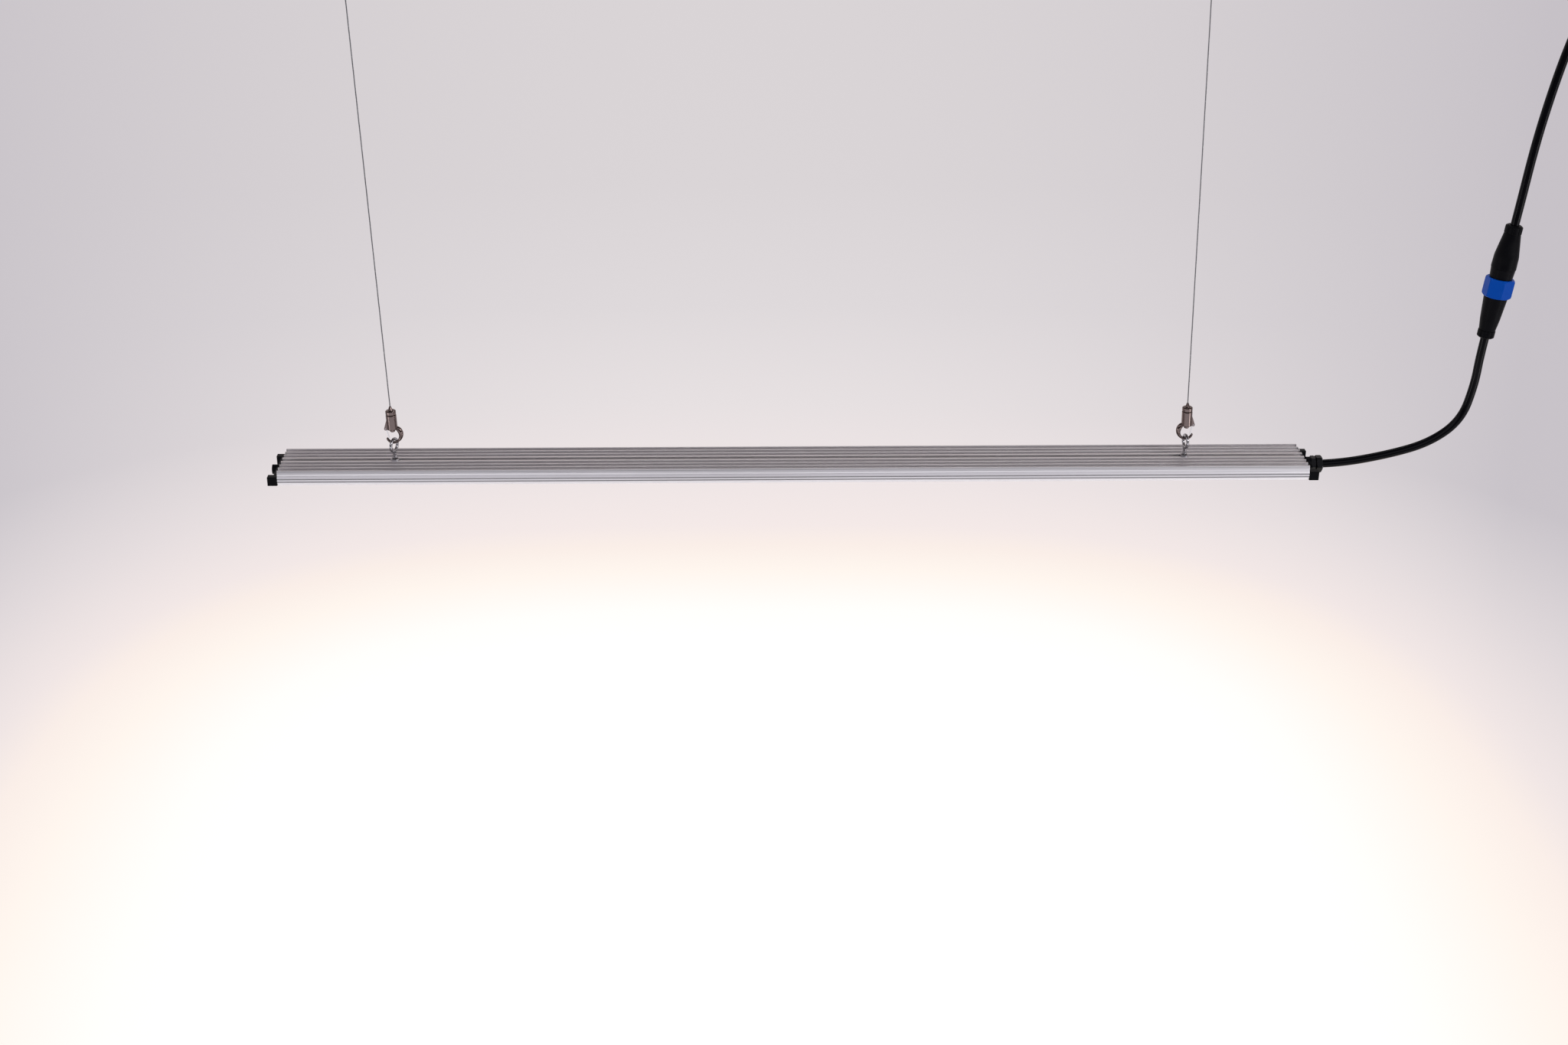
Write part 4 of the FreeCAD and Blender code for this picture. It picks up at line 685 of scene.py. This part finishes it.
# %% Chips under clear resin
def clear_chip(name, colour):
    place = new_finish(name)
    grain = noise(place, per_metre=1400, detail=2.0)
    principled(place, {
        "Base Color": mixed(between(grain, 0.3, 0.7), shade(colour, 0.9), colour),
        "Roughness": between(grain, 0.3, 0.7, 0.12, 0.22),
        "Normal": bump(grain, 0.01 * MM, 0.3),
    })


clear_chip("led_white", (0.85, 0.76, 0.32))
clear_chip("led_red", (0.70, 0.03, 0.02))
print("finishes so far:", len(FINISHES))

# %% [markdown]
# The record says which slot each node belongs to. The finishes could be handed out one by one,
# but a loop over the record can't leave a node out.

# %% Each node takes the finish of its slot
for part in frame["record"]["subparts"]:
    node = nodes[part["node"]]
    node.data.materials.clear()
    node.data.materials.append(FINISHES[part["material_slot"]])
print("finishes:", len(FINISHES), "on", len(nodes), "nodes")

# %% [markdown]
# ## Put the cords in place
#
# The lower lead joins the lamp, which rocks, to the connector, which hangs still, and the upper
# lead runs between the hanging parts and the ceiling. Both leads stay where they were laid.
# The wires are taut and ride on the hangers. Each piece stands for the plain solid of its name.


def stand_in(piece, node, slot):
    """Gives a piece the finish of a slot and lets it stand for a node."""
    piece.data.materials.append(FINISHES[slot])
    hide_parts(node)


stand_in(lamp_lead, "lamp_lead", "lead_jacket")
stand_in(supply_lead, "supply_lead", "lead_jacket")
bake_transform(lamp_lead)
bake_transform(supply_lead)

# %% The wires take their places
for side in BOTH_SIDES:
    stand_in(wires[side], "wire_" + side, "steel_wire")
    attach(wires[side], "hangers")

# %% [markdown]
# ## Coils for the grippers' springs
#
# A gripper holds a small coil under its clamp balls, and pressing the release nose pushes the coil
# together. A solid part can only be carried along, so a coil made here takes its place: a tube
# wound round the wire.

# %% The coils in the two grippers
SPRING_WIRE = 0.5 * MM
SPRING_TURNS = 5
SPRING_STEPS = 20
SPRING_SIDES = 8


def gripper_coil(side):
    """A coil round the wire in the place of the gripper's spring; returns its free length."""
    low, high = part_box("plunger_spring_" + side)
    foot, top = wire_lines[side][0], wire_lines[side][-1]
    axis = (top - foot).normalized()
    lean = high.y * abs(axis.x)
    start = foot + axis * ((low.z + lean - foot.z) / axis.z)
    length = (high.z - low.z - 2 * lean) / axis.z
    depth = Vector((0, 1, 0))
    level = axis.cross(depth)
    radius = high.y - SPRING_WIRE / 2
    pitch = (length - SPRING_WIRE) / SPRING_TURNS
    line = []
    for k in range(SPRING_TURNS * SPRING_STEPS + 1):
        angle = 2 * math.pi * k / SPRING_STEPS
        out = level * math.cos(angle) + depth * math.sin(angle)
        line.append(start + axis * (SPRING_WIRE / 2 + pitch * k / SPRING_STEPS) + out * radius)
    coil = round_tube("plunger_coil_" + side, line, SPRING_WIRE / 2, SPRING_SIDES)
    stand_in(coil, "plunger_spring_" + side, "spring_steel")
    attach(coil, "hangers")
    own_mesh(coil)
    return length


for side in BOTH_SIDES:
    print("coil", side, "free length", round(gripper_coil(side) / MM, 2), "mm")

# %% [markdown]
# ## The floor
#
# The lit lamp throws a white pool on a pale floor, and the rest is a lilac grey. The pool could
# come from a real lamp in the bar, but it would also light the bar from below and hide every
# finish. So the floor carries the pool as a colour that only the camera and mirroring surfaces
# see. To all other light it is matt paint, which still shows the object's shadow.

# %% Colours as a screen shows them
def from_screen(red, green, blue):
    """A colour given in the 0..255 values of a screen, as linear light."""
    linear = []
    for value in (red, green, blue):
        share = value / 255
        linear.append(share / 12.92 if share <= 0.04045 else ((share + 0.055) / 1.055) ** 2.4)
    return tuple(linear)


DARK_FRONT = from_screen(60, 55, 57)
FAR_PALE = from_screen(206, 203, 208)
print("far end of the floor:", tuple(round(c, 3) for c in FAR_PALE))

# %% [markdown]
# The pool is as long as it is deep, with round corners, so it is drawn by its reach: 0 in its
# middle and 1 on a rounded square. A power of two would give an ellipse and a high power sharp
# corners; a power of three lies between them. A ramp turns the reach into the colours, from
# white through a warm rim to grey.

# %% The pool of light
POOL_X, POOL_Y = 1.37, 1.35
POOL_MIDDLE_Y = 0.60
SQUARENESS = 3.0
RAMP_REACH = 3  # the reach at the ramp's end
POOL_COLOURS = [
    (0.200, from_screen(255, 255, 255)),
    (0.240, from_screen(255, 253, 250)),
    (0.285, from_screen(253, 244, 236)),
    (0.315, from_screen(248, 236, 229)),
    (0.340, from_screen(242, 231, 229)),
    (0.400, from_screen(236, 227, 227)),
    (0.520, from_screen(228, 222, 223)),
    (0.700, from_screen(220, 215, 217)),
    (1.000, from_screen(216, 211, 213)),
]


def pool_reach(x, y):
    """How far out of the pool's middle a place on the floor lies."""
    across = (abs(x) / POOL_X) ** SQUARENESS
    deep = (abs(y - POOL_MIDDLE_Y) / POOL_Y) ** SQUARENESS
    return (across + deep) ** (1 / SQUARENESS)


# %% [markdown]
# Outside the pool the floor darkens towards both sides of the picture, over a width that grows
# with the distance, and far away it fades to the plain pale of the room, so no horizon shows.
# Mirrors see the floor too, and the bar's flank mirrors the part under the camera, which isn't
# in the picture. In mirrors that part is a pale lilac with a dark end, as a studio has.

# %% Colour of the floor at a place
SIDE_GREY = from_screen(196, 191, 197)
SIDE_NEAR, SIDE_WIDENS, SIDE_FULL = 0.9, 0.36, 1.1
SIDE_STARTS, SIDE_WHOLE = 0.95, 1.5  # reaches of the pool
FADE_STARTS, FADE_ENDS = 9.0, 15.0
FRONT_LILAC = from_screen(246, 246, 254)
LILAC_STARTS, LILAC_WHOLE = -0.8, -1.8
DARK_STARTS, DARK_WHOLE = -2.9, -4.4


def ray_is(place, kind):
    """1 for rays of that kind - Camera, Glossy or Transmission - and 0 for all others."""
    return Value(place.tree, place.node("LightPath").output.node.outputs[f"Is {kind} Ray"])


def floor_colour(place):
    """What the camera and mirrors see of the floor."""
    x, y, _ = axes_of(place)
    reach = pool_reach(x, y)
    width = abs(y) * SIDE_WIDENS + SIDE_NEAR
    aside = between((x * x) / (width * width), 0.0, SIDE_FULL)
    aside = aside * between(reach, SIDE_STARTS, SIDE_WHOLE)
    shown = mixed(aside, ramp(reach / RAMP_REACH, POOL_COLOURS), SIDE_GREY)
    far = between(x * x + y * y, FADE_STARTS ** 2, FADE_ENDS ** 2)
    shown = mixed(far, shown, FAR_PALE)
    mirrored = mixed(between(y, LILAC_STARTS, LILAC_WHOLE), shown, FRONT_LILAC)
    mirrored = mixed(between(y, DARK_STARTS, DARK_WHOLE), mirrored, DARK_FRONT)
    return mixed(ray_is(place, "Glossy"), shown, mirrored)


# %% The floor
FLOOR_Z = -1.6
FLOOR_HALF = 40.0
GLOW = 1.13
SHOWN_SHARE = 0.85
MATT_PAINT = from_screen(228, 224, 224)


def floor_finish():
    """Glow for the camera and mirrors, matt paint for other light, and clear from below."""
    place = new_finish("floor")
    glow = place.node("Emission", None, {"Color": floor_colour(place), "Strength": GLOW})
    matt = place.node("BsdfDiffuse", None, {"Color": (*MATT_PAINT, 1)})
    seen = ray_is(place, "Camera") + ray_is(place, "Glossy") + ray_is(place, "Transmission")
    seen = smallest(seen, 1.0) * SHOWN_SHARE
    above = place.node("MixShader", None, {0: seen, 1: matt, 2: glow})
    from_below = Value(place.tree, place.node("NewGeometry").output.node.outputs["Backfacing"])
    clear = place.node("BsdfTransparent")
    surface = place.node("MixShader", None, {0: from_below, 1: above, 2: clear})
    place.node("OutputMaterial", None, {"Surface": surface})


corners = [
    Vector((across * FLOOR_HALF, deep * FLOOR_HALF, FLOOR_Z))
    for across, deep in ((-1, -1), (1, -1), (1, 1), (-1, 1))
]
floor = mesh_object("floor", corners, [(0, 1, 2, 3)], smooth=False)
floor_finish()
floor.data.materials.append(FINISHES["floor"])
print("floor at", FLOOR_Z)

# %% [markdown]
# ## The room
#
# The world is the room around the lamp, and polished metal looks only as good as what it
# mirrors. A picture of a studio could be wrapped round the scene, but two ramps over the height
# are enough. Behind the lamp the room is pale near the horizon and darker overhead, and the tops
# of the fins mirror it. In front it is dark with one bright band, which the slopes of the flank
# and the plating mirror. The camera itself sees neither: to it the room is one plain pale
# colour, so that the floor ends without a line.

# %% World
BEHIND = [
    (0.50, from_screen(210, 205, 208)),
    (0.60, from_screen(200, 193, 195)),
    (0.72, from_screen(194, 184, 183)),
    (0.82, from_screen(122, 115, 115)),
    (0.95, from_screen(84, 81, 83)),
]
IN_FRONT = [
    (0.58, DARK_FRONT),
    (0.65, from_screen(224, 222, 230)),
    (0.81, from_screen(224, 222, 230)),
    (0.88, DARK_FRONT),
    (1.00, from_screen(84, 81, 83)),
]
FRONT_STARTS, FRONT_WHOLE = 0.1, -0.35

world = bpy.data.worlds.new("room")
bpy.context.scene.world = world
world.use_nodes = True
tree = world.node_tree
tree.nodes.clear()
heading = Value(tree, tree.nodes.new("ShaderNodeTexCoord").outputs["Generated"])
_, depth, rise = axes_of(heading)
height = rise * 0.5 + 0.5
in_front = between(depth, FRONT_STARTS, FRONT_WHOLE)
studio = mixed(in_front, ramp(height, BEHIND), ramp(height, IN_FRONT))
sky = mixed(ray_is(heading, "Camera"), studio, FAR_PALE)
room = heading.node("Background", None, {"Color": sky, "Strength": 1.0})
heading.node("OutputWorld", None, {"Surface": room})
print("room:", len(BEHIND), "stops behind,", len(IN_FRONT), "in front")

# %% [markdown]
# ## The lamps
#
# A point lamp draws hard shadows, so the lamps are wide panels. The key lights from the left and
# above. It is kept out of mirrors, because it would draw a white line along the tip of every
# fin. A fill on the right and a panel behind open the shadows, and two weak lamps low in front
# put the small highlights on the sleeves and the rings.

# %% Soft lamps
def soft_lamp(name, at, aim, size, watts, mirrored=True):
    """A panel that faces its aim and that the camera doesn't see."""
    light = bpy.data.lights.new(name, "AREA")
    light.shape = "RECTANGLE"
    light.size, light.size_y = size
    light.energy = watts
    holder = bpy.data.objects.new(name, light)
    holder.location = at
    holder.rotation_euler = (Vector(aim) - Vector(at)).to_track_quat("-Z", "Y").to_euler()
    holder.visible_camera = False
    holder.visible_glossy = mirrored
    bpy.context.scene.collection.objects.link(holder)
    print(name, watts, "W")


soft_lamp("key", (-1.2, -1.3, 2.6), (0, 0, -0.5), size=(1.8, 1.2), watts=40, mirrored=False)
soft_lamp("fill", (2.2, -1.6, 0.6), (0.2, 0, -0.5), size=(0.5, 0.8), watts=18)
soft_lamp("back", (0.4, 2.0, 3.0), (0, 0, -0.5), size=(2.4, 0.6), watts=12)
soft_lamp("low_left", (-2.3, -1.4, -1.1), (-0.3, 0, -0.4), size=(0.5, 0.8), watts=5)
soft_lamp("low_right", (2.3, -1.4, -1.1), (0.3, 0, -0.4), size=(0.5, 0.8), watts=5)
